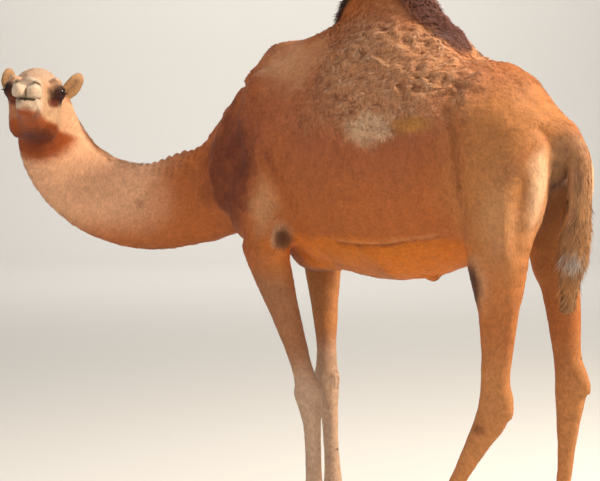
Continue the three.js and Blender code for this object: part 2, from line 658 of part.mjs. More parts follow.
// Neck, in three lengths.
const neckSolid = skinned(neckAndHead, box(-1440, -860, 940, -560, 330, 1760), STEPS.neck);
const neckSpans = [
  ['neck_lower', CUTS.neckBase, CUTS.neckMiddle],
  ['neck_middle', CUTS.neckMiddle, CUTS.neckTop],
  ['neck_upper', CUTS.neckTop, CUTS.head],
];
for (const [name, from, to] of neckSpans)
  add(name, neckSolid.intersect(beyond(from)).intersect(beyond(flipped(to))), SKIN);

// Head, eyes and ears. The head's grid lies along its own axes, so that its two sides are alike.
let head = skinned(neckAndHead, box(-270, -168, -270, 340, 168, 150), STEPS.head, headFrame);
head = head.intersect(beyond(CUTS.head));
for (const [name, s] of [['left', 1], ['right', -1]]) {
  const eyeball = (r) => {
    const ball = new THREE.SphereGeometry(r, 12, 8).applyMatrix4(headFrame);
    return solidOf(ball.translate(...headWay(0, s * EYE.y, 0).toArray()));
  };
  add(`eye_${name}`, eyeball(EYE.r), EYEBALL);
  head = head.subtract(eyeball(EYE.r + CUT)).subtract(corner(earRoom(s), -CUT / 2));
  const earBox = s > 0 ? box(-160, 30, -30, -60, 190, 150) : box(-160, -190, -30, -60, -30, 150);
  const ear = skinned(joined(earLumps(s)), earBox, STEPS.ear, headFrame);
  add(`ear_${name}`, ear.intersect(beyond(earCut(s))), SKIN);
}
add('head', head, MUZZLE);

// Legs, each in an upper and a lower length and a foot with two nails.
for (const name of legNames) {
  const joints = jointsOf(name);
  const cuts = legCuts(name);
  const part = joined(legLumps(name));
  const around = ([x0, x1], half, [z0, z1]) => {
    const y = joints.foot[1].y;
    return box(x0, y - half, z0, x1, y + half, z1);
  };
  const isFore = name.startsWith('fore');
  const reach = (list) => [Math.min(...list) - 130, Math.max(...list) + 130];
  const upperBox = isFore
    ? around([-700, -180], 230, [cuts.knee.at.z - 60, 1160])
    : around([260, 680], 230, [cuts.knee.at.z - 60, 1220]);
  const upper = skinned(torso, upperBox, STEPS.upperLeg);
  const [knee, fetlock] = joints.cannon;
  const bone = knee.clone().sub(fetlock);
  const alongBone = new THREE.Quaternion().setFromUnitVectors(UP, bone.clone().normalize());
  const boneFrame = new THREE.Matrix4().compose(fetlock, alongBone, vec(1, 1, 1));
  const lowerBox = box(-88, -77, -150, 88, 77, bone.length() + 60);
  const lower = skinned(part, lowerBox, STEPS.lowerLeg, boneFrame);
  const footBox = around(reach(joints.foot.map((p) => p.x)), 125, [-40, cuts.fetlock.at.z + 40]);
  let foot = skinned(part, footBox, STEPS.foot).intersect(beyond(cuts.fetlock)).intersect(beyond(FLOOR));
  const [limbName, side] = [isFore ? 'foreleg' : 'hindleg', name.split('_')[1]];
  add(`${limbName}_${side}_upper`, upper.intersect(corner([...cuts.top, flipped(cuts.knee)])), SKIN);
  add(`${limbName}_${side}_lower`, lower.intersect(corner([cuts.knee, flipped(cuts.fetlock)])), SKIN);
  for (const toe of [-1, 1]) {
    const nail = (grow) => {
      const { at, radii, spin } = toeOf(joints.foot[1], toe, isFore ? 1 : HIND_FOOT);
      const shape = new THREE.SphereGeometry(1, 8, 5);
      shape.scale(...NAIL.radii.map((v) => v + grow)).rotateY(rad(NAIL.tip));
      shape.translate(NAIL.back - radii[0], 0, NAIL.lift).applyQuaternion(spin);
      return solidOf(shape.translate(...at.toArray()));
    };
    foot = foot.subtract(nail(CUT));
    const trimmed = nail(0).intersect(beyond(plane(0, 0, NAIL.sole, 0, 0, 1)));
    add(`${limbName}_${side}_nail_${toe < 0 ? 'a' : 'b'}`, trimmed, HORN);
  }
  add(`${limbName}_${side}_foot`, foot, SKIN);
}

// Tail.
const tail = skinned(joined(tailLumps(0, TAIL.length)), box(470, -90, 840, 700, 90, 1540), STEPS.tail);
add('tail', tail.intersect(corner(tailRoot)), DARK_COAT);

// The origin is on the floor, under the middle of the whole animal.
const whole = new THREE.Box3().setFromObject(camel, true);
const middle = whole.getCenter(vec(0, 0, 0));
camel.position.set(-middle.x, -middle.y, -whole.min.z);

export default camel;
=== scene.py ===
"""Looks of a one-humped camel that stands with its neck swung to its left and looks back over its shoulder.

The skin is one closed mesh of a form made of rounded lumps, which lies inside the flesh by the depth of the
coat. The coat is made of closed tufts of hair that lie along the skin. Lengths in the tables are in
millimetres, in the camel's own frame: it faces -X, its left side is towards -Y, and the floor is z = 0.
"""

import functools
import math

import bpy
import numpy as np
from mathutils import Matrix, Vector


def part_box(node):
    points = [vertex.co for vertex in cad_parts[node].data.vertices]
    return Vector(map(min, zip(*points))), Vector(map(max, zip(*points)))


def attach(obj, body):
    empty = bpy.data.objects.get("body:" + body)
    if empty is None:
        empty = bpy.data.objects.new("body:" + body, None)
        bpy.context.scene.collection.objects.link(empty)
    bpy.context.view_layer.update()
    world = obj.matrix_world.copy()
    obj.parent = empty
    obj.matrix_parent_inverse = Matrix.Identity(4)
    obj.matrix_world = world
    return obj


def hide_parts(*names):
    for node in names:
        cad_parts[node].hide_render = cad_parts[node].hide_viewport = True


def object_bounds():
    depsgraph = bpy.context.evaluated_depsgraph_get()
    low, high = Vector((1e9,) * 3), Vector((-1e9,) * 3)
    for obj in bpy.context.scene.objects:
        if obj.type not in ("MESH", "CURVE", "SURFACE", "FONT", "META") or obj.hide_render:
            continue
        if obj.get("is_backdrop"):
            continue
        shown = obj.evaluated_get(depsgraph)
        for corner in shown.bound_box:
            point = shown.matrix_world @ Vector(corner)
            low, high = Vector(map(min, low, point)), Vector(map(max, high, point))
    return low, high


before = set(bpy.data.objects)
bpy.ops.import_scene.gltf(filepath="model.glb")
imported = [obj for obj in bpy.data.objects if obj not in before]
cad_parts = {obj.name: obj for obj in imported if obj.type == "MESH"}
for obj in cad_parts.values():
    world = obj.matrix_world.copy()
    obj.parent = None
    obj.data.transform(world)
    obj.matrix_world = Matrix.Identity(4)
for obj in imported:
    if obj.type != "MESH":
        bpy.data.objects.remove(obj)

bl_info = {
    "name": "Camel looks",
    "version": (1, 0, 0),
    "blender": (4, 5, 0),
    "location": "3D View > Sidebar > Camel",
    "description": "Builds the skin, coat, eyes, nails and stage of a standing one-humped camel",
    "category": "Add Mesh",
}

MM = 0.001
SEED = 71

# ---------------------------------------------------------------- the form's tables
# Trunk and hump: place along the body, height, half breadth and half depth.
BARREL = [
    (-590, 1285, 120, 150),
    (-500, 1345, 172, 262),
    (-380, 1362, 212, 348),
    (-200, 1360, 258, 393),
    (-20, 1356, 292, 405),
    (140, 1361, 284, 372),
    (280, 1383, 240, 307),
    (400, 1397, 176, 236),
    (478, 1346, 116, 160),
]
WITHERS = [(-600, 1577, 56, 105), (-500, 1642, 66, 118), (-400, 1666, 80, 125), (-280, 1672, 95, 130)]
HUMP = [(-48, 1640, 185, 262), (-80, 1765, 135, 213), (-118, 1858, 95, 172)]
# Neck: place, how far its own direction has swung to the left in degrees, half breadth and half depth.
NECK = [
    (-430, 0, 1400, 0, 150, 270),
    (-597, -4, 1353, 4, 132, 250),
    (-692, -20, 1287, 12, 116, 208),
    (-786, -48, 1233, 20, 106, 183),
    (-880, -92, 1202, 28, 99, 173),
    (-1010, -176, 1165, 38, 92, 160),
    (-1134, -290, 1198, 46, 87, 152),
    (-1203, -388, 1282, 54, 82, 141),
    (-1216, -460, 1375, 62, 79, 130),
    (-1208, -500, 1455, 80, 83, 118),
    (-1199, -514, 1530, 112, 81, 108),
]
TAIL = [
    (535, 1461, 38, 36),
    (596, 1429, 33, 31),
    (634, 1350, 28, 26),
    (638, 1230, 26, 24),
    (626, 1110, 34, 28),
    (612, 1000, 32, 27),
    (600, 890, 14, 12),
]
# Legs: the length of each bone, where the foot stands, how far each bone leans forward and the leg spreads.
BONES = {"fore": (172, 370, 535), "hind": (185, 455, 440)}
LEGS = {
    "fore_left": (-288, 112, 4, 3.1, 14.5, 8),
    "fore_right": (-410, 112, -4, 4.5, 8, 8),
    "hind_left": (158, 118, -12, -29, -4, 4),
    "hind_right": (494, 118, -8, -3.5, 10, 4),
}
# Down a leg: bone (2 upper, 1 cannon, 0 foot), how far down it, how far forward, half breadth and half depth.
FORE_SHAPE = [
    (2, 0.0, 8, 62, 92),
    (2, 0.18, 8, 57, 82),
    (2, 0.45, 3, 47, 58),
    (2, 0.72, -1, 37, 42),
    (2, 0.88, 0, 38, 43),
    (2, 1.0, 6, 44, 53),
    (1, 0.12, 2, 40, 46),
    (1, 0.3, -3, 29, 37),
    (1, 0.65, -3, 28, 35),
    (1, 1.0, 0, 36, 38),
    (0, 0.35, 6, 37, 37),
    (0, 0.72, 16, 52, 48),
]
HIND_SHAPE = [
    (2, 0.0, 4, 62, 76),
    (2, 0.2, -4, 54, 74),
    (2, 0.45, -6, 43, 62),
    (2, 0.75, -4, 36, 52),
    (2, 0.93, -6, 37, 57),
    (1, 0.06, -5, 37, 56),
    (1, 0.22, -4, 31, 45),
    (1, 0.5, -3, 26, 31),
    (1, 0.75, -2, 25, 28),
    (1, 1.0, 0, 32, 33),
    (0, 0.35, 6, 33, 33),
    (0, 0.74, 14, 47, 43),
]
# Head: its middle between the eyes, and its turn, lift and roll in degrees. Its own axes are forward, left
# and up.
HEAD = (-1124, -628, 1578)
HEAD_TURN = (136, 15, 4)
NOSE = [(-30, 18, 60, 46), (40, 2, 50, 42), (120, -26, 38, 38), (190, -50, 33, 36), (240, -68, 32, 30)]
UPPER_JAW = [(0, -45, 62, 60), (100, -62, 44, 50), (200, -84, 36, 40), (242, -92, 33, 31)]
LOWER_JAW = [
    (-100, -88, 64, 68),
    (-20, -92, 60, 60),
    (70, -98, 46, 46),
    (150, -108, 37, 35),
    (225, -120, 32, 26),
]
# Lumps of flesh: middle, half sizes, width of blend and, for the trunk's pairs, the lean forward in degrees.
# The paired ones are on both sides.
TRUNK_PAIRS = [
    ((-468, 135, 1400), (120, 78, 270), 60, 14),
    ((-612, 118, 1300), (92, 58, 185), 34, 6),
    ((-530, 136, 1190), (125, 80, 150), 50, 0),
    ((-440, 165, 1110), (92, 62, 110), 40, 0),
    ((350, 80, 1466), (115, 85, 90), 60, 0),
    ((330, 150, 1475), (66, 46, 56), 50, 0),
]
TRUNK_MIDDLE = [((-600, 0, 1215), (95, 120, 120), 70), ((-375, 0, 1040), (125, 88, 72), 50)]
HEAD_MIDDLE = [
    ((-88, 0, 33), (98, 82, 73), 30),
    ((-140, 0, -20), (78, 72, 92), 40),
    ((258, 0, -127), (28, 32, 19), 12),
    ((232, 0, -140), (30, 26, 17), 14),
]
HEAD_PAIRS = [
    ((-6, 69, 2), (42, 27, 36), 22),
    ((-8, 72, 36), (44, 20, 16), 16),
    ((-70, 57, -72), (74, 33, 78), 28),
    ((260, 25, -83), (36, 29, 27), 10),
    ((244, 28, -56), (34, 18, 17), 14),
]
# The ears in the head's axes, root to tip: place, half breadth and half thickness. The left one, 1, hangs out
# more.
LEFT_EAR = [(-100, 76, 6, 21, 18), (-106, 112, 44, 32, 15), (-112, 133, 84, 28, 13), (-114, 138, 102, 17, 11)]
RIGHT_EAR = [(-100, -74, 14, 21, 18), (-106, -99, 50, 30, 15), (-112, -105, 84, 26, 13)]
EARS = {1: LEFT_EAR, -1: RIGHT_EAR + [(-114, -106, 100, 17, 11)]}
EYE_OUT = 80  # from the head's middle plane to an eye's middle
EYE_RADIUS = 21
NAIL = (20, 24, 17)  # half its length, breadth and height
HIND_FOOT = 0.9  # a hind foot's size as a share of a forefoot's

ACROSS = np.array([0.0, 1.0, 0.0])
SIDES = (-1, 1)
CORNERS = [(c & 1, c >> 1 & 1, c >> 2 & 1) for c in range(8)]  # of a cell
FAR_OFF = 1e3  # the field's value where no lump is near
MARGIN = 30  # how far round a lump its field is worked out


# ---------------------------------------------------------------- rounded lumps
def unit(v):
    """The same direction or directions with length 1."""
    v = np.asarray(v, float)
    return v / np.maximum(np.linalg.norm(v, axis=-1, keepdims=True), 1e-12)


def turned(axis, degrees):
    """The 3 x 3 rotation about an axis."""
    x, y, z = unit(axis)
    c, s = math.cos(math.radians(degrees)), math.sin(math.radians(degrees))
    cross = np.array([[0, -z, y], [z, 0, -x], [-y, x, 0]])
    return c * np.eye(3) + s * cross + (1 - c) * np.outer((x, y, z), (x, y, z))


def head_axes():
    """The head's forward, left and up as the columns of a matrix."""
    turn, lift, roll = HEAD_TURN
    c, s = math.cos(math.radians(turn)), math.sin(math.radians(turn))
    level, rise = math.cos(math.radians(lift)), math.sin(math.radians(lift))
    forward = np.array([-c * level, -s * level, rise])
    left = turned(forward, -roll) @ np.array([s, -c, 0])
    return np.stack([forward, left, np.cross(forward, left)], 1)


HEAD_AXES = head_axes()


def in_head(p):
    """From the head's own coordinates to the camel's."""
    return np.asarray(HEAD, float) + np.asarray(p, float) @ HEAD_AXES.T


def from_head(p):
    """From the camel's coordinates to the head's own."""
    return (p - np.asarray(HEAD, float)) @ HEAD_AXES


def outside(offsets, radii):
    """Roughly how far points are outside an ellipsoid, from their offsets and its radii."""
    share = offsets / radii
    near = np.sqrt((share**2).sum(-1))
    steep = np.sqrt(((share / radii) ** 2).sum(-1))
    return near * (near - 1) / np.maximum(steep, 1e-9)


def smoothed(rows, steps=3):
    """Rows of numbers with others between them, on a smooth curve through them."""
    rows = np.array(rows, float)
    padded = np.vstack([rows[:1], rows, rows[-1:]])
    made = []
    for i in range(len(rows) - 1):
        a, b, c, d = padded[i : i + 4]
        for s in range(steps):
            t = s / steps
            made.append(b + 0.5 * t * (c - a + t * (2 * a - 5 * b + 4 * c - d + t * (3 * (b - c) + d - a))))
    return np.array(made + [rows[-1]])


def limb(places, wide, deep, side, blend):
    """An elliptic rod through places, wide across `side` and deep at right angles to it."""
    places = np.array(places, float)
    side = np.broadcast_to(np.asarray(side, float), places.shape)
    reach = np.maximum(wide, deep)
    spans = []
    for i in range(len(places) - 1):
        a, b = places[i], places[i + 1]
        length = np.linalg.norm(b - a)
        axis = (b - a) / length
        across = side[i] + side[i + 1]
        across = unit(across - (across @ axis) * axis)
        near = length / 2 + max(reach[i], reach[i + 1]) + blend + MARGIN
        spans.append((a, axis, length, across, wide[i : i + 2], deep[i : i + 2], (a + b) / 2, near))

    def field(p):
        best = np.full(len(p), FAR_OFF)
        for a, axis, length, across, wides, deeps, middle, near in spans:
            pick = np.nonzero((np.abs(p - middle) < near).all(1))[0]
            if not len(pick):
                continue
            w = p[pick] - a
            t = np.clip(w @ axis / length, 0, 1)
            w = w - (t * length)[:, None] * axis
            out = w @ across
            along = w @ axis
            rest = np.sqrt(np.maximum(0, (w**2).sum(1) - out**2 - along**2))
            half_wide = wides[0] + t * (wides[1] - wides[0])
            half_deep = deeps[0] + t * (deeps[1] - deeps[0])
            radii = np.stack([half_wide, half_deep, np.minimum(half_wide, half_deep)], 1)
            best[pick] = np.minimum(best[pick], outside(np.stack([out, rest, along], 1), radii))
        return best

    grow = reach.max() + blend + MARGIN
    return field, places.min(0) - grow, places.max(0) + grow, blend


def blob(centre, radii, blend, turn=None):
    """An ellipsoid, whose own axes a rotation may turn."""
    centre, radii = np.array(centre, float), np.array(radii, float)
    grow = radii.max() + blend + MARGIN

    def field(p):
        w = p - centre
        return outside(w if turn is None else w @ turn, radii)

    return field, centre - grow, centre + grow, blend


def joined(lumps, p):
    """The field of lumps that run together, each with its own width of blend. It is below 0 inside."""
    d = np.full(len(p), FAR_OFF)
    for field, low, high, blend in lumps:
        pick = np.nonzero(((p > low) & (p < high)).all(1))[0]
        if not len(pick):
            continue
        e = field(p[pick])
        mix = np.maximum(0, blend - np.abs(d[pick] - e)) / blend
        d[pick] = np.minimum(d[pick], e) - mix * mix * blend / 4
    return d


def upright(rows):
    """Places in a body's middle plane, from rows that start with the place along it and the height."""
    return np.stack([rows[:, 0], np.zeros(len(rows)), rows[:, 1]], 1)


def trunk_lumps():
    """The barrel, withers, hump, shoulders, croup and breast."""
    lumps = []
    for rows, blend in ((BARREL, 60), (WITHERS, 90), (HUMP, 70)):
        rows = smoothed(rows)
        lumps.append(limb(upright(rows), rows[:, 2], rows[:, 3], ACROSS, blend))
    for (x, y, z), radii, blend, lean in TRUNK_PAIRS:
        for out in SIDES:
            lumps.append(blob((x, out * y, z), radii, blend, turned(ACROSS, -lean)))
    for place, radii, blend in TRUNK_MIDDLE:
        lumps.append(blob(place, radii, blend))
    return lumps


def neck_lumps():
    """The neck as one rod."""
    rows = smoothed(NECK)
    places, side = neck_rows()
    return [limb(places, rows[:, 4], rows[:, 5], side, 50)]


def tail_lumps():
    """The tail's dock and the mass of its hair."""
    rows = smoothed(TAIL)
    return [limb(tail_places(), rows[:, 2], rows[:, 3], ACROSS, 25)]


def joints_of(name):
    """A leg's joints from the floor up (sole, fetlock, knee or hock, top) and its side: -1 left, 1 right."""
    x, y, pastern, cannon, upper, spread = LEGS[name]
    out = -1 if name.endswith("left") else 1
    joints = [np.array([x, out * y, 0.0])]
    for length, lean, apart in zip(BONES[name[:4]], (pastern, cannon, upper), (0, 0, spread)):
        lean, apart = math.radians(lean), math.radians(apart)
        joints.append(joints[-1] + length * unit((-math.sin(lean), out * math.sin(apart), math.cos(lean))))
    return joints, out


def leg_places(name):
    """The stations down a leg: places, half breadths and half depths."""
    joints, _ = joints_of(name)
    rows = []
    for bone, t, fore, wide, deep in FORE_SHAPE if name.startswith("fore") else HIND_SHAPE:
        p = joints[bone + 1] + t * (joints[bone] - joints[bone + 1])
        rows.append((p[0] - fore, p[1], p[2], wide, deep))
    return smoothed(rows)


def foot_size(name):
    """A leg's foot as a share of a forefoot's size."""
    return 1 if name.startswith("fore") else HIND_FOOT


def toe_of(name, toe):
    """A toe's pad: its middle, half sizes and turn."""
    sole = joints_of(name)[0][0]
    big = foot_size(name)
    at = sole + (-36 * big, toe * 42 * big, 14)
    return at, (90 * big, 45 * big, 38), turned((0, 0, 1), -9 * toe)


def leg_lumps(name):
    """One leg with its foot, pads and, behind, its thigh."""
    joints, out = joints_of(name)
    sole, _, knee, top = joints
    big = foot_size(name)
    rows = leg_places(name)
    lumps = [limb(rows[:, :3], rows[:, 3], rows[:, 4], ACROSS, 30)]
    for toe in SIDES:
        at, radii, spin = toe_of(name, toe)
        lumps.append(blob(at, radii, 12, spin))
    lumps.append(blob(sole + (14, 0, 20), (74 * big, 70 * big, 40), 22))  # the heel
    if name.startswith("fore"):
        lumps.append(blob(knee + (-44, 0, 4), (18, 26, 38), 14))  # the knee's front
        lumps.append(blob(knee + (36, 0, 26), (18, 22, 34), 16))  # the bone behind the knee
        lumps.append(blob(top + (62, out * 12, 8), (38, 40, 58), 24))  # the elbow
        return lumps
    hock_point = blob(knee + (48, 0, 30), (20, 21, 56), 18, turned(ACROSS, -LEGS[name][4] - 14))
    lumps.append(hock_point)
    hip = np.array([395, out * 105, 1400.0])
    half_way = (hip + top) / 2 + (8, -out * 6, 20)
    knee_top, knee_low = top + (0, 0, 30), top + (2, 0, -50)
    thigh = smoothed([(*hip, 88, 112), (*half_way, 100, 132), (*knee_top, 80, 98), (*knee_low, 62, 72)])
    lumps.append(limb(thigh[:, :3], thigh[:, 3], thigh[:, 4], ACROSS, 45))
    seat = (528, 120, 1288) if out > 0 else (500, -106, 1288)
    lumps.append(blob(seat, (86, 72, 165), 50))
    return lumps


def head_lumps():
    """The skull, jaws, lips, nostrils and brows."""

    def ball(at, radii, blend):
        return blob(in_head(at), radii, blend, HEAD_AXES)

    lumps = [ball(*lump) for lump in HEAD_MIDDLE]
    for rows, blend in ((NOSE, 30), (UPPER_JAW, 20), (LOWER_JAW, 25)):
        rows = smoothed(rows)
        lumps.append(limb(in_head(upright(rows)), rows[:, 2], rows[:, 3], HEAD_AXES[:, 1], blend))
    for (x, y, z), radii, blend in HEAD_PAIRS:
        lumps += [ball((x, s * y, z), radii, blend) for s in SIDES]
    return lumps


def ear_places(s):
    """An ear's root, middle, upper part and tip."""
    return [in_head(row[:3]) for row in EARS[s]]


def ear_lumps(s):
    """One leaf-shaped ear."""
    rows = smoothed([(*p, *row[3:]) for p, row in zip(ear_places(s), EARS[s])])
    return [limb(rows[:, :3], rows[:, 3], rows[:, 4], HEAD_AXES[:, 1], 10)]


@functools.cache
def groups():
    """The body's lumps by part, in the order in which they run together."""
    made = {"trunk": trunk_lumps(), "neck": neck_lumps()}
    for name in LEGS:
        made[name] = leg_lumps(name)
    made["tail"] = tail_lumps()
    made["head"] = head_lumps()
    made["ears"] = ear_lumps(-1) + ear_lumps(1)
    return made


@functools.cache
def all_lumps():
    """All lumps in one list."""
    return [lump for lumps in groups().values() for lump in lumps]


# ---------------------------------------------------------------- soft masks and noise
def eased(v, low, high):
    """0 up to low, 1 from high on, and smooth between. High may be the lower one."""
    t = np.clip((v - low) / (high - low), 0, 1)
    return t * t * (3 - 2 * t)


def noise(p, size, seed=0):
    """Smooth noise from -1 to 1 with bumps of about that size."""
    q = p / size + 11.37 * seed
    cell = np.floor(q).astype(np.int64)
    f = q - cell
    f = f * f * (3 - 2 * f)
    total = np.zeros(len(p))
    for corner in CORNERS:
        bits = np.array(corner)
        at = cell + bits
        # Each corner's own random number from 0 to 65535, made from its place.
        h = (at[:, 0] * 73856093) ^ (at[:, 1] * 19349663) ^ (at[:, 2] * 83492791) ^ (seed * 2654435)
        h = (h ^ (h >> 13)) * 1274126177 & 0x7FFFFFFF
        h = (h ^ (h >> 11)) & 0xFFFF
        total += np.where(bits, f, 1 - f).prod(1) * (h / 32767.5 - 1)
    return total


def rough(p, size, octaves=3, seed=0):
    """Noise with finer noise on it."""
    return sum(noise(p, size / 2**k, seed + k) / 2**k for k in range(octaves)) / (2 - 0.5 ** (octaves - 1))


def folded_over(p):
    """Points with both sides laid on the side where the second coordinate is above 0."""
    return np.stack([p[:, 0], np.abs(p[:, 1]), p[:, 2]], 1)


def spot(p, centre, radii, soft=0.3, ragged=0.0, size=60, mirror=True):
    """1 inside an ellipsoid and 0 outside, with a soft and perhaps ragged edge, on both sides if mirrored."""
    q = folded_over(p) if mirror else p
    away = np.linalg.norm((q - np.array(centre, float)) / np.array(radii, float), axis=1)
    if ragged:
        away = away + ragged * rough(p, size, 3, 3)
    return eased(away, 1 + soft, 1 - soft)


def off_line(p, points):
    """How far points are from a line through given points."""
    points = np.array(points, float)
    best = np.full(len(p), np.inf)
    for a, b in zip(points[:-1], points[1:]):
        ab = b - a
        t = np.clip((p - a) @ ab / (ab @ ab), 0, 1)
        best = np.minimum(best, np.linalg.norm(p - a - t[:, None] * ab, axis=1))
    return best


def groove(p, points, width):
    """1 along a line, falling off to the sides."""
    return np.exp(-((off_line(p, points) / width) ** 2))


# ---------------------------------------------------------------- the skin's field
# Folds: on both sides or not, points, half width and how deep. Below 0 it stands out.
FOLDS = [
    (True, [(-141, 190, 1076), (-85, 198, 1067), (0, 203, 1072), (77, 204, 1068), (136, 198, 1085)], 9, 9),
    (True, [(136, 198, 1085), (218, 180, 1091), (311, 176, 1108)], 9, 8),
    (True, [(-141, 196, 1094), (0, 212, 1090), (136, 208, 1103), (300, 184, 1122)], 12, -5),
    (True, [(-464, 218, 1410), (-429, 224, 1369), (-396, 226, 1336), (-372, 224, 1283)], 13, 10),
    (True, [(-372, 224, 1283), (-350, 218, 1226), (-338, 206, 1169), (-331, 197, 1110)], 16, 17),
    (True, [(-470, 226, 1340), (-425, 238, 1270), (-400, 234, 1190)], 26, -8),
    (True, [(-360, 228, 1370), (-318, 224, 1272), (-292, 214, 1180)], 12, 6),
    (False, [(-650, -100, 1560), (-682, -116, 1480), (-704, -118, 1400), (-708, -122, 1300)], 44, -25),
    (False, [(-706, -122, 1300), (-694, -128, 1200)], 40, -24),
    (False, [(-600, 0, 1730), (-668, 0, 1661), (-727, 0, 1590), (-800, -20, 1500)], 75, -16),
    (True, [(-585, 171, 1520), (-530, 205, 1400), (-515, 210, 1280)], 22, -6),
    (True, [(-497, 207, 1478), (-480, 214, 1376), (-470, 216, 1290)], 16, 6),
    (
        True,
        [(312, 221, 1508), (330, 228, 1472), (343, 231, 1426), (353, 230, 1351), (358, 224, 1260)],
        13,
        15,
    ),
    (True, [(358, 224, 1260), (357, 214, 1169), (345, 200, 1085)], 14, 18),
    (
        True,
        [(352, 232, 1500), (376, 238, 1430), (388, 238, 1340), (390, 230, 1240), (386, 220, 1120)],
        20,
        -8,
    ),
    (True, [(337, 132, 1620), (322, 180, 1575), (316, 216, 1520)], 16, 9),
    (True, [(546, 170, 1290), (541, 178, 1230), (533, 183, 1160), (528, 188, 1095)], 12, 6),
    (True, [(500, 208, 1250), (505, 208, 1160), (500, 205, 1080)], 22, -9),
    (True, [(575, 140, 1270), (570, 150, 1180), (560, 150, 1100)], 16, -5),
    (True, [(470, 205, 1300), (500, 196, 1318), (530, 176, 1345), (566, 130, 1385)], 17, 9),
    (True, [(418, 72, 1622), (481, 86, 1572), (521, 84, 1534), (561, 66, 1492)], 20, 6),
    (True, [(561, 95, 1441), (588, 71, 1381), (582, 83, 1261), (560, 121, 1143)], 15, 9),
    (True, [(-404, 230, 1000), (-386, 210, 923), (-360, 189, 839), (-345, 175, 772)], 13, 6),
    (True, [(457, 207, 934), (429, 177, 839), (402, 157, 758)], 13, 6),
    (True, [(492, 190, 960), (480, 162, 841), (462, 150, 740)], 12, 5),
    (True, [(-353, 195, 1062), (-373, 100, 1024), (-322, 66, 992), (-251, 78, 998)], 13, 7),
    (False, [(-1204, -560, 1420), (-1150, -565, 1395), (-1110, -575, 1420)], 9, 5),
    (False, [(-1215, -520, 1370), (-1150, -510, 1340), (-1105, -520, 1370)], 10, 5),
]
# Swellings and hollows: mirrored or not, middle, half sizes and how far out.
SWELLINGS = [
    (True, (350, 152, 1590), (44, 40, 30), 9),
    (True, (415, 185, 1520), (80, 70, 80), 7),
    (False, (548, 0, 1572), (90, 120, 80), -18),
    (False, (-716, -20, 1628), (62, 110, 56), 22),
    (False, (-800, -60, 1535), (60, 90, 50), -8),
    (False, (258, 0, 1735), (62, 130, 62), -26),
    (False, (300, 0, 1690), (66, 130, 54), -20),
    (False, (-425, 0, 1802), (80, 100, 50), -12),
    (False, (-10, 0, 960), (330, 120, 60), 7),
    (True, (430, 215, 1420), (60, 60, 70), -7),
    (True, (-363, 212, 1080), (20, 30, 34), 6),
    (True, (414, 215, 970), (22, 26, 62), 6),
    (True, (-650, 120, 1240), (50, 50, 60), 8),
    (False, (-375, 0, 965), (120, 70, 40), 12),
    (True, (420, 190, 1130), (60, 60, 110), 7),
    (True, (-530, 190, 1180), (60, 50, 110), 7),
    (True, (90, 260, 1250), (260, 90, 120), 6),
    (True, (0, 250, 1400), (120, 90, 60), 7),
    (True, (-300, 230, 1450), (90, 80, 90), -6),
    (False, (112, -10, 985), (20, 24, 26), 18),
]
TAIL_RIDGE = [(600, 0, 1420), (636, -8, 1340), (640, -10, 1230), (628, -8, 1100)]
# Where muscles run into each other without a step: centre and reach, in mm.
SMOOTH = [
    ((545, 0, 1550), (150, 160, 130)),
    ((-690, -60, 1560), (150, 150, 150)),
    ((-700, -110, 1350), (80, 110, 190)),
    ((-420, 0, 1790), (130, 120, 70)),
]
# In the head's own frame, on both sides.
HEAD_GROOVES = [
    ([(276, 10, -44), (262, 32, -46), (240, 46, -54)], 6, -4),
    ([(22, 80, -14), (52, 66, -34), (96, 48, -46)], 7, 3),
    ([(120, 50, -96), (104, 56, -86), (92, 58, -74)], 5, 4),
    ([(-20, 66, -60), (20, 62, -92), (60, 54, -122)], 9, 3.5),
    ([(-96, 66, -20), (-112, 70, -70), (-104, 64, -120)], 12, 5),
    ([(-40, 60, 44), (-64, 66, 22), (-70, 70, -6)], 11, 4),
    ([(60, 44, 10), (120, 34, -18), (180, 28, -40)], 8, -2),
    ([(120, 38, -66), (180, 38, -84), (225, 42, -92)], 8, 2.5),
    ([(-30, 30, 66), (10, 26, 52), (50, 22, 38)], 9, -2),
    ([(180, 0, -146), (60, 0, -158), (-50, 0, -166)], 17, 9),
    ([(190, 20, -142), (80, 26, -152), (-30, 36, -162)], 8, -4),
    ([(-40, 12, -160), (-70, 0, -164)], 12, 6),
    ([(150, 44, -112), (60, 62, -112), (-30, 78, -110), (-70, 82, -130)], 9, -2.5),
]
NOSTRIL = [(0, 20, -50), (0, 30, -54), (0, 42, -55)]  # a slit, as seen from the front
EYE_AXIS = (0.30, 0.95, 0.06)
EYE_TILT = -10  # degrees by which the eye's forward corner lies lower
OPENING = (48, 20, 20)  # half the eye's opening in degrees: along it, up and down
LID = 4.2  # thickness of an eyelid
HEAD_REACH = 400  # from the head's middle to beyond all of its features
MOUTH = [(118, -66), (160, -72), (210, -83), (236, -96), (256, -106), (300, -111)]


def head_sides(p):
    """A point's own-frame place, with both sides laid on the left one."""
    return folded_over(from_head(p))


def off_head(p, middle=(60, 0, -30)):
    """How far points are from the head's middle."""
    return np.linalg.norm(p - in_head(middle), axis=1)


def eye_frame():
    """The left eye's axes in the head's frame as columns: along the opening, up, and outwards."""
    outwards = unit(EYE_AXIS)
    tilt = math.radians(EYE_TILT)
    along = np.array([math.cos(tilt), 0, math.sin(tilt)])
    along = unit(along - (along @ outwards) * outwards)
    return np.stack([along, np.cross(outwards, along), outwards], 1)


def eye_place(q):
    """Where head points are from the left eye: distance, degrees along and up, and how far outwards."""
    w = (q - (0, EYE_OUT, 0)) @ eye_frame()
    ahead = np.maximum(w[:, 2], 1e-3)
    across = np.degrees(np.arctan2(w[:, 0], ahead))
    above = np.degrees(np.arctan2(w[:, 1], ahead))
    return np.linalg.norm(w, axis=1), across, above, w[:, 2]


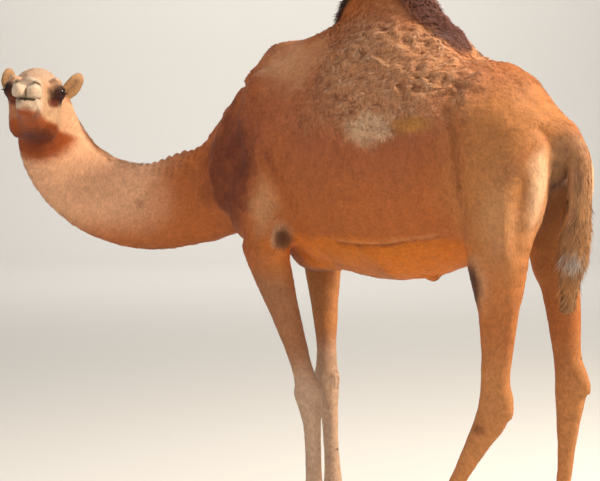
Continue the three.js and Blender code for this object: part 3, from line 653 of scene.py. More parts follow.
def lid_edge(across, above):
    """How many degrees a direction is outside the eye's opening."""
    long, up, down = OPENING
    share = np.clip(1 - (across / long) ** 2, 0, None)
    past_corner = np.maximum(0, np.abs(across / long) - 1)
    return np.maximum(above - up * share**0.7, -down * share**0.9 - above) + 14 * past_corner


def in_socket(q):
    """Whether head points are close to the eye, and how many degrees they are outside its opening."""
    far, across, above, ahead = eye_place(q)
    return (far < 34) & (ahead > 0), lid_edge(across, above)


def off_nostril(q):
    """How far head points are from the nostril's slit as seen from the front."""
    return off_line(q * (0, 1, 1), NOSTRIL)


def nostril_slit(q):
    """1 along each nostril's slit, however deep in the muzzle."""
    return groove(q * (0, 1, 1), NOSTRIL, 2.6) * eased(q[:, 0], 228, 244)


def off_mouth(q):
    """How far head points are above the line between the lips."""
    return q[:, 2] - np.interp(q[:, 0], *np.array(MOUTH, float).T)


def with_face(p, d):
    """The field with eyelids, nostrils, mouth, split lip and ear cups."""
    pick = np.nonzero(((p - HEAD) ** 2).sum(1) < HEAD_REACH**2)[0]
    if not len(pick):
        return d
    q = head_sides(p[pick])
    e = d[pick]
    far, across, above, ahead = eye_place(q)
    edge = lid_edge(across, above)
    # The lids are a shell round the eyeball, cut open, with a crease above.
    lid = np.maximum(far - (EYE_RADIUS + LID), 6 - ahead)
    mix = np.maximum(0, 8 - np.abs(e - lid)) / 8
    e = np.minimum(e, lid) - mix * mix * 2
    near = (far < 60) & (ahead > 0)
    e = e + np.where(near, 1.8 * np.exp(-(((edge - 15) / 5) ** 2)) * eased(far, 44, 30), 0)
    opening = -edge * EYE_RADIUS * math.pi / 180
    e = np.where(near, np.maximum(e, np.minimum(opening, 60 - far)), e)
    for points, width, deep in HEAD_GROOVES:
        e = e + deep * groove(q, points, width)
    e = e + 8 * nostril_slit(q)
    # The muzzle's flat front and the hollows beside its corners.
    e = e + 9 * eased(q[:, 0], 236, 262) * spot(q, (285, 0, -50), (60, 17, 13), 0.9, mirror=False)
    e = e + 6 * eased(q[:, 0], 236, 262) * spot(q, (285, 48, -92), (60, 16, 18), 0.9)
    e = e + 14 * eased(q[:, 0], 116, 150) * np.exp(-((off_mouth(q) / 3.8) ** 2))
    # The split of the upper lip, and the ears' cups.
    lip = eased(q[:, 0], 238, 262) * eased(q[:, 2], -54, -64) * eased(q[:, 2], -119, -111)
    e = e + 12 * lip * np.exp(-((q[:, 1] / 3.8) ** 2))
    for s in SIDES:
        root, middle, upper, _ = (np.array(row[:3], float) for row in EARS[s])
        front = np.array([16, 0, 1])
        line = [root + 0.5 * (middle - root) + front, middle + front, middle + 0.6 * (upper - middle) + front]
        e = e + 7 * groove(from_head(p[pick]), line, 14)
    d = d.copy()
    d[pick] = e
    return d


def coat_depth(p, s):
    """How far the skin lies inside the flesh, which is where the coat's tips end."""
    tail = eased(p[:, 0], 585, 605) * eased(p[:, 2], 1440, 1380) * eased(np.abs(p[:, 1]), 80, 60)
    regions = [
        (eased(p[:, 2], 980, 640), s.leg_depth),
        (eased(p[:, 2], 230, 150), s.face_depth),
        (eased(off_head(p), 300, 190), s.face_depth),
        (eased(p[:, 2], 1730, 1830) * eased(np.abs(p[:, 0] + 60), 320, 240), s.crown_depth),
        (tail, s.tail_depth),
    ]
    deep = np.full(len(p), s.coat_depth / MM)
    for share, depth in regions:
        deep = deep + share * (depth / MM - deep)
    return deep


def skin_field(p, s):
    """The skin's own field: the flesh's, moved in by the coat's depth, with a carved face and flat soles."""
    d = joined(all_lumps(), p) + coat_depth(p, s)
    d = with_face(p, d)
    return np.maximum(d, -p[:, 2])


def relief(p, s):
    """How far the skin's surface stands out (above 0) by folds, muscles, matted wool and small unevenness."""
    q = folded_over(p)
    out = np.zeros(len(p))
    for mirror, points, width, deep in FOLDS:
        out = out - deep * groove(q if mirror else p, points, width)
    for mirror, centre, radii, high in SWELLINGS:
        out = out + high * spot(p, centre, radii, 0.6, mirror=mirror)
    body = (1 - eased(off_head(p), 320, 240)) * (1 - eased(p[:, 2], 260, 160))
    # The temples, the body's unevenness, the hair on the tail and the neck's wrinkles in its bend.
    out = out + 9 * spot(head_sides(p), (-40, 82, -12), (34, 26, 36), 0.7)
    out = out + body * (2.4 * rough(p, 140, 2, 5) + 1.3 * rough(p, 40, 2, 9))
    out = out + 17 * groove(p, TAIL_RIDGE, 60)
    wrinkled = spot(p, (-920, -150, 1345), (160, 110, 75), 0.5, mirror=False)
    out = out + 4.2 * wrinkled * np.sin(p @ unit((0.86, 0.5, -0.1)) * 2 * math.pi / 26 + 2 * noise(p, 90, 4))
    # The matted wool, and the ribs under the coat.
    out = out + s.wool_relief / MM * wool_share(p) * (wool_clumps(p) + 0.3 * rough(p, 22, 2, 31))
    ribs = spot(p, (-60, 280, 1300), (260, 140, 170), 0.5)
    return out + 1.8 * ribs * np.sin(p[:, 0] * 2 * math.pi / 78 + p[:, 2] / 160)


def wool_clumps(p):
    """From 1 on the rolls of matted wool to below 0 in the gaps between them."""
    swirl = np.stack([noise(p, 60, 2), noise(p, 60, 6), noise(p, 45, 9)], 1)
    q = p * (1.1, 1, 1.7) + (0.45, 0, 0) * p[:, 2:] + 26 * swirl
    rolls = np.maximum(1 - 2.4 * np.abs(noise(q, 46, 21)), -0.35)
    return rolls + 0.6 * np.maximum(1 - 2.4 * np.abs(noise(q, 24, 33)), -0.4) - 0.3 + 0.2 * noise(p, 13, 35)


def wool_share(p):
    """1 where the wool is matted: on the hump's sides and the upper flank."""
    side = spot(p, (110, 190, 1660), (260, 160, 230), 0.6, 0.35, 90)
    front = spot(p, (-70, 200, 1540), (200, 130, 190), 0.7, 0.4, 90)
    lock = spot(p, (60, 262, 1440), (84, 120, 46), 0.5, 0.5, 40)
    return np.clip((side + 0.5 * front) * eased(p[:, 2], 1390, 1480) + 0.8 * lock, 0, 1)


# ---------------------------------------------------------------- meshing
def grid_lines(low, high, step, fine_low, fine_high, fine):
    """Places of grid lines, closer together in one stretch."""
    stretches = ((low, fine_low, step), (fine_low, fine_high, fine), (fine_high, high, step))
    lines = np.concatenate([np.arange(*stretch) for stretch in stretches])
    return lines[np.concatenate([[True], np.diff(lines) > fine * 0.5])]


STRIDE = 4  # grid lines from one rough sample to the next
SLACK = 6  # mm beyond a cell's diagonal within which a field may still pass 0
BATCH = 400000  # points whose field is worked out at a time


def sampled(field, lines, stride=STRIDE):
    """The field on a grid: everywhere roughly, and exactly near its zero."""
    more = [np.arange(1, stride + 1 + (-len(v)) % stride) * (v[-1] - v[-2]) for v in lines]
    lines = [np.append(v, v[-1] + extra) for v, extra in zip(lines, more)]
    lines = [v[: (len(v) - 1) // stride * stride + 1] for v in lines]
    shape = [len(v) for v in lines]
    coarse = [v[::stride] for v in lines]
    at = np.stack(np.meshgrid(*coarse, indexing="ij"), -1).reshape(-1, 3)
    rough_value = field(at).reshape([len(v) for v in coarse])
    sizes = [np.diff(v) for v in coarse]
    diagonal = np.sqrt(sum(np.square(v) for v in np.meshgrid(*sizes, indexing="ij")))
    least = np.full(diagonal.shape, np.inf)
    n = diagonal.shape
    for i, j, k in CORNERS:
        least = np.minimum(least, np.abs(rough_value[i : i + n[0], j : j + n[1], k : k + n[2]]))
    value, fine = rough_value, least < diagonal + SLACK
    for axis in range(3):
        value, fine = np.repeat(value, stride, axis), np.repeat(fine, stride, axis)
    value = value[: shape[0], : shape[1], : shape[2]].copy()
    wanted = np.zeros(shape, bool)
    for i, j, k in CORNERS:
        wanted[i : i + fine.shape[0], j : j + fine.shape[1], k : k + fine.shape[2]] |= fine
    spots = np.nonzero(wanted)
    points = np.stack([lines[m][spots[m]] for m in range(3)], 1)
    for start in range(0, len(points), BATCH):
        part = slice(start, start + BATCH)
        value[spots[0][part], spots[1][part], spots[2][part]] = field(points[part])
    return value, lines


@functools.cache
def corner_lumps():
    """For each pattern of a cell's inside corners: the first corner of the lump that each belongs to."""
    table = np.tile(np.arange(8), (256, 1))
    for _ in range(3):
        for bit in (1, 2, 4):
            for c in range(8):
                both = (np.arange(256) >> c & 1) & (np.arange(256) >> (c ^ bit) & 1)
                table[:, c] = np.where(both, np.minimum(table[:, c], table[:, c ^ bit]), table[:, c])
    return table


def netted(value, lines):
    """Vertices and quads of the surface where the value passes 0, with one vertex for each lump of a cell."""
    inside = value < 0
    n = [v - 1 for v in value.shape]
    code = np.zeros(n, np.int32)
    for c, (i, j, k) in enumerate(CORNERS):
        code += inside[i : i + n[0], j : j + n[1], k : k + n[2]].astype(np.int32) << c
    cells = np.stack(np.nonzero((code > 0) & (code < 255)), 1)
    codes = code[tuple(cells.T)]
    row = np.full(n, -1, np.int64)
    row[tuple(cells.T)] = np.arange(len(cells))
    lump = corner_lumps()[codes]
    sums, count = np.zeros((len(cells), 8, 3)), np.zeros((len(cells), 8))
    for c, corner in enumerate(CORNERS):
        own = codes >> c & 1
        here = cells + corner
        va = value[tuple(here.T)]
        pa = np.stack([lines[m][here[:, m]] for m in range(3)], 1)
        for m in range(3):
            there = here.copy()
            there[:, m] += 1 - 2 * (c >> m & 1)
            vb = value[tuple(there.T)]
            pick = np.nonzero(own & (vb >= 0))[0]
            t = va[pick] / (va[pick] - vb[pick])
            pb = np.stack([lines[k][there[pick, k]] for k in range(3)], 1)
            np.add.at(sums, (pick, lump[pick, c]), pa[pick] + t[:, None] * (pb - pa[pick]))
            np.add.at(count, (pick, lump[pick, c]), 1)
    used = count > 0
    number = np.cumsum(used.ravel()).reshape(used.shape) - 1
    quads = []
    for axis in range(3):
        u, w = (axis + 1) % 3, (axis + 2) % 3
        low, high = [slice(1, -1)] * 3, [slice(1, -1)] * 3
        low[axis], high[axis] = slice(0, -1), slice(1, None)
        edge = np.stack(np.nonzero(inside[tuple(low)] != inside[tuple(high)]), 1)
        edge += [0 if m == axis else 1 for m in range(3)]
        leaving = inside[tuple(edge.T)]
        inner = edge.copy()
        inner[:, axis] += ~leaving
        ring = []
        for du, dw in ((-1, -1), (0, -1), (0, 0), (-1, 0)):
            q = edge.copy()
            q[:, u] += du
            q[:, w] += dw
            bits = (inner - q) @ [1, 2, 4]
            at = row[tuple(q.T)]
            ring.append(number[at, lump[at, bits]])
        ring = np.stack(ring, 1)
        ring[~leaving] = ring[~leaving][:, ::-1]
        quads.append(ring)
    return (sums[used] / count[used][:, None]), np.concatenate(quads)


def as_triangles(p, quads):
    """Each quad as two triangles, cut along its shorter diagonal."""
    a, b, c, d = quads.T
    first = np.linalg.norm(p[a] - p[c], axis=1) < np.linalg.norm(p[b] - p[d], axis=1)
    one = np.where(first[:, None], np.stack([a, b, c], 1), np.stack([a, b, d], 1))
    two = np.where(first[:, None], np.stack([a, c, d], 1), np.stack([b, c, d], 1))
    return np.concatenate([one, two])


# Triangles between a triangle's corners 0 to 2 and its edges' middles 3 to 5, when one or two edges are cut.
ONE_CUT = ((0, 3, 2), (3, 1, 2))
TWO_CUTS = ((3, 1, 4), (0, 3, 2), (3, 4, 2))


def refined(p, tris, wanted):
    """The mesh with the wanted triangles cut in four, and their neighbours cut to match."""
    edges = np.stack([tris[:, [0, 1]], tris[:, [1, 2]], tris[:, [2, 0]]], 1)
    key = np.sort(edges, 2)
    key = key[..., 0] * len(p) + key[..., 1]
    split = np.unique(key[wanted])
    new_at = np.searchsorted(split, key)
    is_split = split[np.clip(new_at, 0, len(split) - 1)] == key
    middle = len(p) + np.clip(new_at, 0, len(split) - 1)
    ends = np.stack([split // len(p), split % len(p)], 1)
    points = np.concatenate([p, p[ends].mean(1)])
    made = [tris[~is_split.any(1)]]
    for turn in range(3):
        t, m, f = (np.roll(v, -turn, 1) for v in (tris, middle, is_split))
        for cut, cuts in ((f[:, 0] & ~f[:, 1] & ~f[:, 2], ONE_CUT), (f[:, 0] & f[:, 1] & ~f[:, 2], TWO_CUTS)):
            six = np.concatenate([t[cut], m[cut]], 1)
            made += [six[:, corners] for corners in cuts]
    whole = is_split.all(1)
    t, m = tris[whole], middle[whole]
    made += [np.stack([t[:, i], m[:, i], m[:, (i + 2) % 3]], 1) for i in range(3)] + [m]
    return points, np.concatenate(made)


PROBE = 0.8  # mm between the two places that a slope is taken from


def settled(p, field, most=4.0):
    """Points moved onto the field's zero in two steps, each of them limited."""
    for _ in range(2):
        d = field(p)
        slope = np.stack([field(p + PROBE * e) - d for e in np.eye(3)], 1) / PROBE
        step = -(d / np.maximum((slope**2).sum(1), 0.05))[:, None] * slope
        size = np.linalg.norm(step, axis=1, keepdims=True)
        p = p + step * np.minimum(1, most / np.maximum(size, 1e-9))
    return p


def vertex_normals(p, tris):
    """Each vertex's normal, by the area of the triangles round it."""
    cross = np.cross(p[tris[:, 1]] - p[tris[:, 0]], p[tris[:, 2]] - p[tris[:, 0]])
    total = np.zeros_like(p)
    for corner in range(3):
        for m in range(3):
            total[:, m] += np.bincount(tris[:, corner], cross[:, m], len(p))
    return unit(total)


def evened(p, tris, share, rounds):
    """Points drawn towards the middle of their neighbours, again and again."""
    ends = np.concatenate([tris[:, [0, 1]], tris[:, [1, 2]], tris[:, [2, 0]]])
    ends = ends[(share[ends] > 0.01).any(1)]
    ends = np.concatenate([ends, ends[:, ::-1]])
    count = np.maximum(np.bincount(ends[:, 0], minlength=len(p)), 1)
    for _ in range(rounds):
        middle = np.stack([np.bincount(ends[:, 0], p[ends[:, 1], i], len(p)) / count for i in range(3)], 1)
        p = p + 0.6 * share[:, None] * (middle - p)
    return p


def folded(p, tris, rings=4):
    """1 at points on and near triangles that face away from their surroundings."""
    n = vertex_normals(p, tris)
    face = np.cross(p[tris[:, 1]] - p[tris[:, 0]], p[tris[:, 2]] - p[tris[:, 0]])
    bad = ((n[tris] * unit(face)[:, None]).sum(2) < 0.5).any(1)
    share = np.zeros(len(p))
    share[tris[bad]] = 1
    for _ in range(rings):
        share[tris[(share[tris] > 0).any(1)]] = 1
    return share


# The grid along each axis: from where to where, and the stretch with the head.
GRID = [(-1385, 720, (-1310, -900)), (-910, 320, (-880, -490)), (-20, 2010, (1405, 1700))]


def fine_places(p, reach):
    """Where the mesh is made finer: round eyes and nostrils, and at reach 1 at lips, toes and ears too."""
    q = head_sides(p)
    wanted = np.linalg.norm(q - (4, EYE_OUT + 14, 0), axis=1) < 46 / reach + 8
    wanted |= (off_nostril(q) < 14) & (q[:, 0] > 225)
    if reach == 1:
        wanted |= (q[:, 0] > 110) & (np.abs(off_mouth(q)) < 11) & (q[:, 0] < 310)
        wanted |= (q[:, 0] > 236) & (q[:, 1] < 9) & (np.abs(q[:, 2] + 88) < 40)
        wanted |= p[:, 2] < 120
        wanted |= (q[:, 1] > 84) & (q[:, 2] > 10) & (q[:, 0] < -88)
    return wanted


@functools.cache
def skin_shape():
    """The skin's vertices, triangles and normals, in the camel's frame."""
    s = bpy.context.scene.camel_sizes
    field = functools.partial(skin_field, s=s)
    step, fine = s.skin_step / MM, s.head_step / MM
    value, lines = sampled(field, [grid_lines(low, high, step, *head, fine) for low, high, head in GRID])
    p, quads = netted(value, lines)
    tris = as_triangles(p, quads)
    p = settled(p, field)
    for reach in (1, 2):
        old = len(p)
        p, tris = refined(p, tris, fine_places(p[tris].mean(1), reach))
        p[old:] = settled(p[old:], field, 2.0)
    for centre, radii in SMOOTH:
        p = evened(p, tris, spot(p, centre, radii, 0.6, mirror=False), 40)
    body = eased(off_head(p), 240, 300) * eased(p[:, 2], 950, 1050)
    p = evened(p, tris, folded(p, tris) * body * eased(p[:, 0], 590, 560), 20)
    n = vertex_normals(p, tris)
    p = p + n * relief(p, s)[:, None]
    p[:, 2] = np.maximum(p[:, 2], 0)
    return p, tris, vertex_normals(p, tris)


# ---------------------------------------------------------------- places on the body
def along_rows(p, places, side):
    """Where points are along a rod: share of the way, angle round it from its upper side, its direction."""
    places = np.array(places, float)
    best = np.full(len(p), np.inf)
    share, angle, way = np.zeros(len(p)), np.zeros(len(p)), np.zeros((len(p), 3))
    side = np.broadcast_to(np.asarray(side, float), places.shape)
    for i in range(len(places) - 1):
        a, b = places[i], places[i + 1]
        length = np.linalg.norm(b - a)
        axis = (b - a) / length
        t = np.clip((p - a) @ axis / length, 0, 1)
        off = p - a - (t * length)[:, None] * axis
        far = np.linalg.norm(off, axis=1)
        across = unit(side[i] - (side[i] @ axis) * axis)
        upper = np.cross(across, axis)
        pick = far < best
        best[pick] = far[pick]
        share[pick] = ((i + t) / (len(places) - 1))[pick]
        angle[pick] = np.arctan2(off @ across, off @ upper)[pick]
        way[pick] = axis
    return share, angle, way


@functools.cache
def neck_rows():
    """The neck's places and the way its breadth lies."""
    rows = smoothed(NECK)
    turn = np.radians(rows[:, 3])
    return rows[:, :3], np.stack([-np.sin(turn), np.cos(turn), np.zeros(len(rows))], 1)


@functools.cache
def tail_places():
    """The tail's places from root to tip."""
    return upright(smoothed(TAIL))


def part_weights(p):
    """How much of each part of the body a point belongs to."""
    made = {name: np.exp(-np.maximum(joined(lumps, p), 0) / 14) for name, lumps in groups().items()}
    total = sum(made.values()) + 1e-9
    return {name: share / total for name, share in made.items()}


def lie_of_hair(p, n, parts):
    """The way in which the hair lies at points with normals n, along the surface."""
    side = np.sign(p[:, 1])
    high = eased(p[:, 2], 1600, 1800)
    trunk = np.stack([0.8 - 0.5 * high, 0.25 * side * high, -0.45 - 0.5 * high], 1)
    neck = -along_rows(p, *neck_rows())[2] + (0, 0, -0.35)
    q = from_head(p)
    down = eased(q[:, 2], -20, -110) * eased(q[:, 0], 160, 60)
    crest = eased(q[:, 2], 40, 70)
    outward = 0.25 * np.sign(q[:, 1]) * (1 - crest)
    face = np.stack([np.full(len(p), -1.0), outward, -0.35 - 0.9 * down + 0.3 * crest], 1)
    way = parts["trunk"][:, None] * trunk + parts["neck"][:, None] * unit(neck)
    way += parts["head"][:, None] * unit(face) @ HEAD_AXES.T
    for s in SIDES:
        root, _, _, tip = ear_places(s)
        own = parts["ears"] * (np.sign(q[:, 1]) == s)
        way += own[:, None] * unit(tip - root)
    way += parts["tail"][:, None] * along_rows(p, tail_places(), ACROSS)[2]
    for name in LEGS:
        way += parts[name][:, None] * np.array([0.14, 0, -1])
    way = way - (way * n).sum(1, keepdims=True) * n
    return unit(way + 1e-6)


SHEETS = {  # each part's place on the unwrap: left, low, right, high
    "trunk": (0.01, 0.01, 0.55, 0.48),
    "neck": (0.57, 0.01, 0.99, 0.24),
    "head": (0.57, 0.26, 0.99, 0.48),
    "ears": (0.81, 0.76, 0.99, 0.99),
    "fore_left": (0.01, 0.51, 0.39, 0.62),
    "fore_right": (0.41, 0.51, 0.79, 0.62),
    "hind_left": (0.01, 0.64, 0.39, 0.75),
    "hind_right": (0.41, 0.64, 0.79, 0.75),
    "tail": (0.01, 0.77, 0.39, 0.88),
}


def unwrapped(p, parts):
    """Points' places on an unwrap of the skin: along each part one way and round it the other."""
    names = list(parts)
    which = np.argmax(np.stack([parts[name] for name in names], 1), 1)
    uv = np.zeros((len(p), 2))
    for i, name in enumerate(names):
        pick = which == i
        if not pick.any():
            continue
        at = p[pick]
        if name == "neck":
            share, angle, _ = along_rows(at, *neck_rows())
        elif name == "tail":
            share, angle, _ = along_rows(at, tail_places(), ACROSS)
        elif name in ("head", "ears"):
            q = from_head(at)
            share, angle = (q[:, 0] + 260) / 570, np.arctan2(q[:, 1], q[:, 2] + 45)
        elif name == "trunk":
            share, angle = (at[:, 0] + 740) / 1360, np.arctan2(at[:, 1], at[:, 2] - 1400)
        else:
            joints, _ = joints_of(name)
            line = np.array(joints)
            x = np.interp(at[:, 2], line[:, 2], line[:, 0])
            y = np.interp(at[:, 2], line[:, 2], line[:, 1])
            share, angle = at[:, 2] / 1300, np.arctan2(at[:, 1] - y, at[:, 0] - x)
        left, low, right, high = SHEETS[name]
        uv[pick, 0] = left + np.clip(share, 0, 1) * (right - left)
        uv[pick, 1] = low + (angle / (2 * math.pi) + 0.5) * (high - low)
    return uv


# ---------------------------------------------------------------- markings
CREST = upright(
    np.array([(-262, 1840), (-215, 1895), (-118, 1958), (0, 1945), (90, 1890), (165, 1815), (226, 1745)])
)
# Painted shade along the folds' creases, and painted highlight along the ridge below the belly's crease:
# colour name, share, half width and points.
FOLD_SHADING = [
    ("dark_patch", 0.8, 13, [(-429, 224, 1369), (-372, 224, 1283), (-338, 206, 1169), (-331, 197, 1110)]),
    ("dark_patch", 0.6, 13, [(343, 231, 1426), (353, 230, 1351), (357, 220, 1200), (345, 200, 1085)]),
    ("shoulder", 0.2, 14, [(541, 178, 1230), (533, 183, 1160), (528, 188, 1095)]),
    ("shoulder", 0.3, 20, [(500, 196, 1318), (530, 176, 1345), (566, 130, 1385)]),
    ("pale_edge", 0.3, 8, [(-141, 196, 1088), (0, 212, 1084), (136, 208, 1098), (300, 184, 1119)]),
    ("dark_patch", 0.8, 8, [(-141, 190, 1076), (0, 203, 1072), (136, 198, 1085), (311, 176, 1108)]),
]
# Spots: colour, share, middle, half sizes, how soft and how ragged the edge is, its lumps' size, and whether
# it is on both sides.
HIGHLIGHT_SPOTS = [
    # Painted sunlight along the rear edge of each thigh.
    ("cream_wool", 0.9, (596, 140, 1250), (36, 60, 190), 0.6, 0.3, 80),
    # Painted highlights where muscles stand out: on the thigh, on the triceps and on the side of the withers.
    ("pale_edge", 0.25, (490, 215, 1170), (60, 60, 130), 0.7, 0.5, 80),
    ("pale_edge", 0.45, (-440, 235, 1190), (50, 60, 90), 0.7, 0.4, 60),
    ("pale_edge", 0.35, (-360, 100, 1650), (150, 110, 90), 0.6, 0.6, 50),
]
PAD_SPOTS = [
    ("callus_rim", 0.6, (-368, 215, 1090), (26, 60, 44), 0.45, 0.2, 20),
    ("callus", 0.9, (-362, 215, 1078), (16, 60, 33), 0.4, 0.2, 20),
    ("callus_rim", 0.5, (408, 205, 985), (44, 70, 84), 0.5, 0.3, 40),
    ("callus", 1, (394, 205, 975), (36, 70, 70), 0.4, 0.3, 40),
    # Painted shade on each hock.
    ("dark_patch", 0.5, (382, 146, 520), (26, 40, 18), 0.5, 0.4, 20),
]
SHADE_SPOTS = [
    ("dark_patch", 0.35, (-984, -272, 1183), (16, 24, 16), 0.4, 0.2, 20, False),
    ("callus", 0.6, (-375, 0, 955), (95, 60, 24), 0.3, 0.2, 40),
    # Painted shade in the cleft between the thighs, under the tail.
    ("shade", 0.9, (596, 38, 1290), (44, 36, 150), 0.5, 0.3, 60),
    ("shade", 0.75, (620, 0, 1290), (60, 62, 130), 0.5),
    # Painted shade on top of the hips.
    ("shoulder", 0.35, (440, 110, 1600), (130, 110, 60), 0.6, 0.4, 60),
    # Painted shade between the hind legs.
    ("shade", 0.6, (420, 0, 1150), (200, 60, 200), 0.5),
]
MUZZLE_SPOTS = [  # in the head's own frame
    ("muzzle_dark", 0.6, (160, 44, -124), (60, 30, 16), 0.5, 0.3, 30),
    ("muzzle_dark", 0.5, (262, 20, -118), (40, 44, 12), 0.6, 0.3, 30),
    ("muzzle_dark", 0.7, (240, 0, -40), (50, 40, 16), 0.6, 0.3, 30),
    ("muzzle_dark", 0.5, (262, 26, -54), (30, 26, 9), 0.6, 0.3, 20),
]
JAW_LINE = [(-100, -106), (0, -106), (70, -110), (150, -112), (230, -134), (262, -141)]  # its lower edge


def crown_share(p):
    """1 on the hump's long dark hair: on its crest and down the back of it."""
    wide = np.interp(p[:, 0], [-320, -180, -60, 60, 160, 260], [30, 36, 60, 96, 84, 50])
    away = off_line(p, CREST) / wide + 0.28 * rough(p, 50, 3, 8)
    return eased(away, 1.35, 0.75) * eased(p[:, 2], 1660, 1720)


def nape_share(p):
    """1 along the ridge of the neck's nape."""
    _, angle, _ = along_rows(p, *neck_rows())
    return eased(np.abs(angle), 0.42, 0.15)


def spotted(p, rows, whole=1):
    """The markings that a table of spots gives."""
    for name, share, *place in rows:
        yield name, whole * share * spot(p, *place)


def markings(p):
    """The coat's markings, painted shade and highlights among them, in the order in which they lie on each
    other: colour name and share.
    """
    q = head_sides(p)
    local = from_head(p)
    head = eased(off_head(p, (40, 0, -30)), 300, 240)
    wild = rough(p, 120, 3, 12)
    fine = rough(p, 30, 3, 15)
    # The body's broad colours, then the legs.
    yield "upper_flank", spot(p, (-80, 240, 1520), (470, 260, 250), 0.5, 0.3, 160) * 0.85
    yield "rump", spot(p, (500, 130, 1340), (200, 190, 470), 0.5, 0.2, 160)
    # The belly's orange is partly its own colour and partly painted warm light bounced up from the floor.
    yield "belly", eased(p[:, 2] + 14 * wild, 1118, 1070) * eased(np.abs(p[:, 0]), 470, 330) * (p[:, 2] > 900)
    # The neck's paler hair is partly painted sunlight, and it stops short of the neck's base, which keeps the
    # darker coat as painted shadow from the body.
    yield "neck", eased(p[:, 0] + 60 * wild, -820, -1060) * eased(p[:, 2], 1020, 1180)
    yield "neck", 0.3 * spot(p, (-500, 100, 1700), (160, 100, 70), 0.5, 0.4)
    yield "fore_leg", eased(p[:, 2] + 60 * wild, 1060, 880) * (p[:, 0] < 0)
    yield "fore_shank", eased(p[:, 2] + 60 * wild, 760, 520) * (p[:, 0] < 0)
    forearm = eased(p[:, 2], 1020, 940) * eased(p[:, 2], 640, 760) * (p[:, 0] < 0)
    yield "rump", 0.7 * eased(p[:, 1], 20, 60) * forearm
    yield "hind_leg", eased(p[:, 2] + 60 * wild, 900, 640) * (p[:, 0] > 0)
    # The wool with its painted highlight and shade, its cream lock, the dark patch before the shoulder, and
    # the painted shade and highlight along the folds.
    clumps = wool_clumps(p) + 0.5 * fine
    yield "wool", wool_share(p)
    # Paler tips and painted highlight on the tops of the wool's clumps, and painted shade in the gaps between
    # them.
    yield "wool_tips_and_highlight", wool_share(p) * eased(clumps, 0.6, 1.4) * 0.55
    yield "wool_gap_shade", wool_share(p) * eased(clumps, 0.0, -0.8) * 0.6
    yield "cream_wool", spot(p, (60, 262, 1440), (84, 120, 46), 0.5, 0.6, 40) * (0.75 + 0.6 * fine)
    yield "gold", spot(p, (205, 255, 1460), (62, 90, 24), 0.5, 0.3, 50)
    yield "shoulder", spot(p, (-610, 160, 1350), (180, 190, 290), 0.5, 0.4, 110) * 0.5
    yield "dark_patch", spot(p, (-618, 150, 1320), (124, 170, 195), 0.45, 0.7, 60) * (0.85 + 0.4 * fine)
    for name, share, width, points in FOLD_SHADING:
        yield name, share * groove(folded_over(p), points, width)
    yield from spotted(p, HIGHLIGHT_SPOTS)
    yield "crown", crown_share(p)
    yield from spotted(p, PAD_SPOTS)
    yield "crest", spot(p, (-1150, -400, 1450), (120, 160, 130), 0.5, 0.2, 40, False) * nape_share(p)
    yield from spotted(p, SHADE_SPOTS)
    tail = eased(p[:, 0], 560, 590) * eased(np.abs(p[:, 1]), 90, 60) * eased(p[:, 2], 1450, 1400)
    yield "tail", tail * (0.75 + 0.25 * eased(p[:, 2], 1370, 1230))
    yield "shade", tail * 0.45 * eased(noise(p * (1, 1, 0.2), 9, 17), 0.1, 0.5)
    yield "gold", tail * 0.7 * eased(noise(p * (1, 1, 0.2), 9, 19), 0.05, 0.5) * eased(p[:, 2], 1300, 1150)
    yield "tail_grey", tail * 0.9 * spot(p, (640, -30, 1100), (22, 30, 20), 0.5, 0.4, 20, False)
    # The head, from the forehead to the jaw, the muzzle, the eyes and the ears.
    ear = eased(q[:, 1], 82, 90) * eased(q[:, 2], 4, 16) * eased(q[:, 0], -78, -90) * head
    yield "forehead", head * eased(q[:, 0], -170, -110) * eased(q[:, 2], 10, 40) * (1 - ear)
    yield "cheek", head * spot(q, (10, 60, -62), (120, 60, 62), 0.5, 0.2, 40)
    under = q[:, 2] - np.interp(q[:, 0], *np.array(JAW_LINE, float).T)
    yield "muzzle", head * eased(q[:, 0] + 14 * fine, 70, 165)
    # The jaw's orange-brown underside is partly its own colour and partly painted warm light bounced up from
    # the floor.
    yield "jaw", head * eased(under + 5 * fine, 10, -10)
    # Painted shade under the jaw, on the throat.
    yield "throat_shade", 0.9 * spot(p, in_head((-50, 0, -172)), (90, 110, 70), 0.6, 0.2, 40, False)
    yield "cheek", head * 0.6 * groove(q, [(170, 20, -142), (80, 26, -152), (-10, 34, -160)], 8)
    # Painted shade in the hollow between the jaws.
    yield "shade", head * 0.7 * spot(q, (-52, 0, -160), (26, 16, 20), 0.5)
    yield from spotted(q, MUZZLE_SPOTS, head)
    brow = eased(q[:, 2] + 0.3 * q[:, 0], 10, 40)
    yield "muzzle_dark", head * 0.45 * eased(noise(p, 26, 61), 0.0, 0.5) * brow
    yield "eye_ring", head * spot(q, (-4, 90, -8), (54, 60, 34), 0.4, 0.25, 16)
    # Painted shade on the head's right side, away from the light.
    yield "jaw", 0.7 * head * spot(local, (40, -60, -90), (140, 40, 60), 0.6, 0.3, 30, False)
    yield "tear_mark", head * spot(q, (24, 76, -42), (36, 30, 17), 0.4, 0.3, 20)
    yield "eye_ring", head * 0.7 * spot(q, (-84, 84, 44), (20, 12, 26), 0.5, 0.3, 14)
    yield "ear", ear
    for s in SIDES:
        inner = [np.array(row[:3]) + (14, 0, 0) for row in EARS[s][:3]]
        # Painted shade in each ear's cup.
        yield "shade", ear * 0.5 * groove(local, inner, 10)
        yield "pale_edge", ear * 0.5 * spot(local, EARS[s][3][:3], (40, 30, 20), 0.6, mirror=False)
    yield "muzzle_dark", head * 0.5 * nostril_slit(q)
    yield "inside", head * eased(q[:, 0], 118, 150) * 0.8 * np.exp(-((off_mouth(q) / 3.6) ** 2))
    near, edge = in_socket(q)
    yield "inside", near * eased(edge, 9, 2)
    yield "sole", eased(p[:, 2], 16, 6)


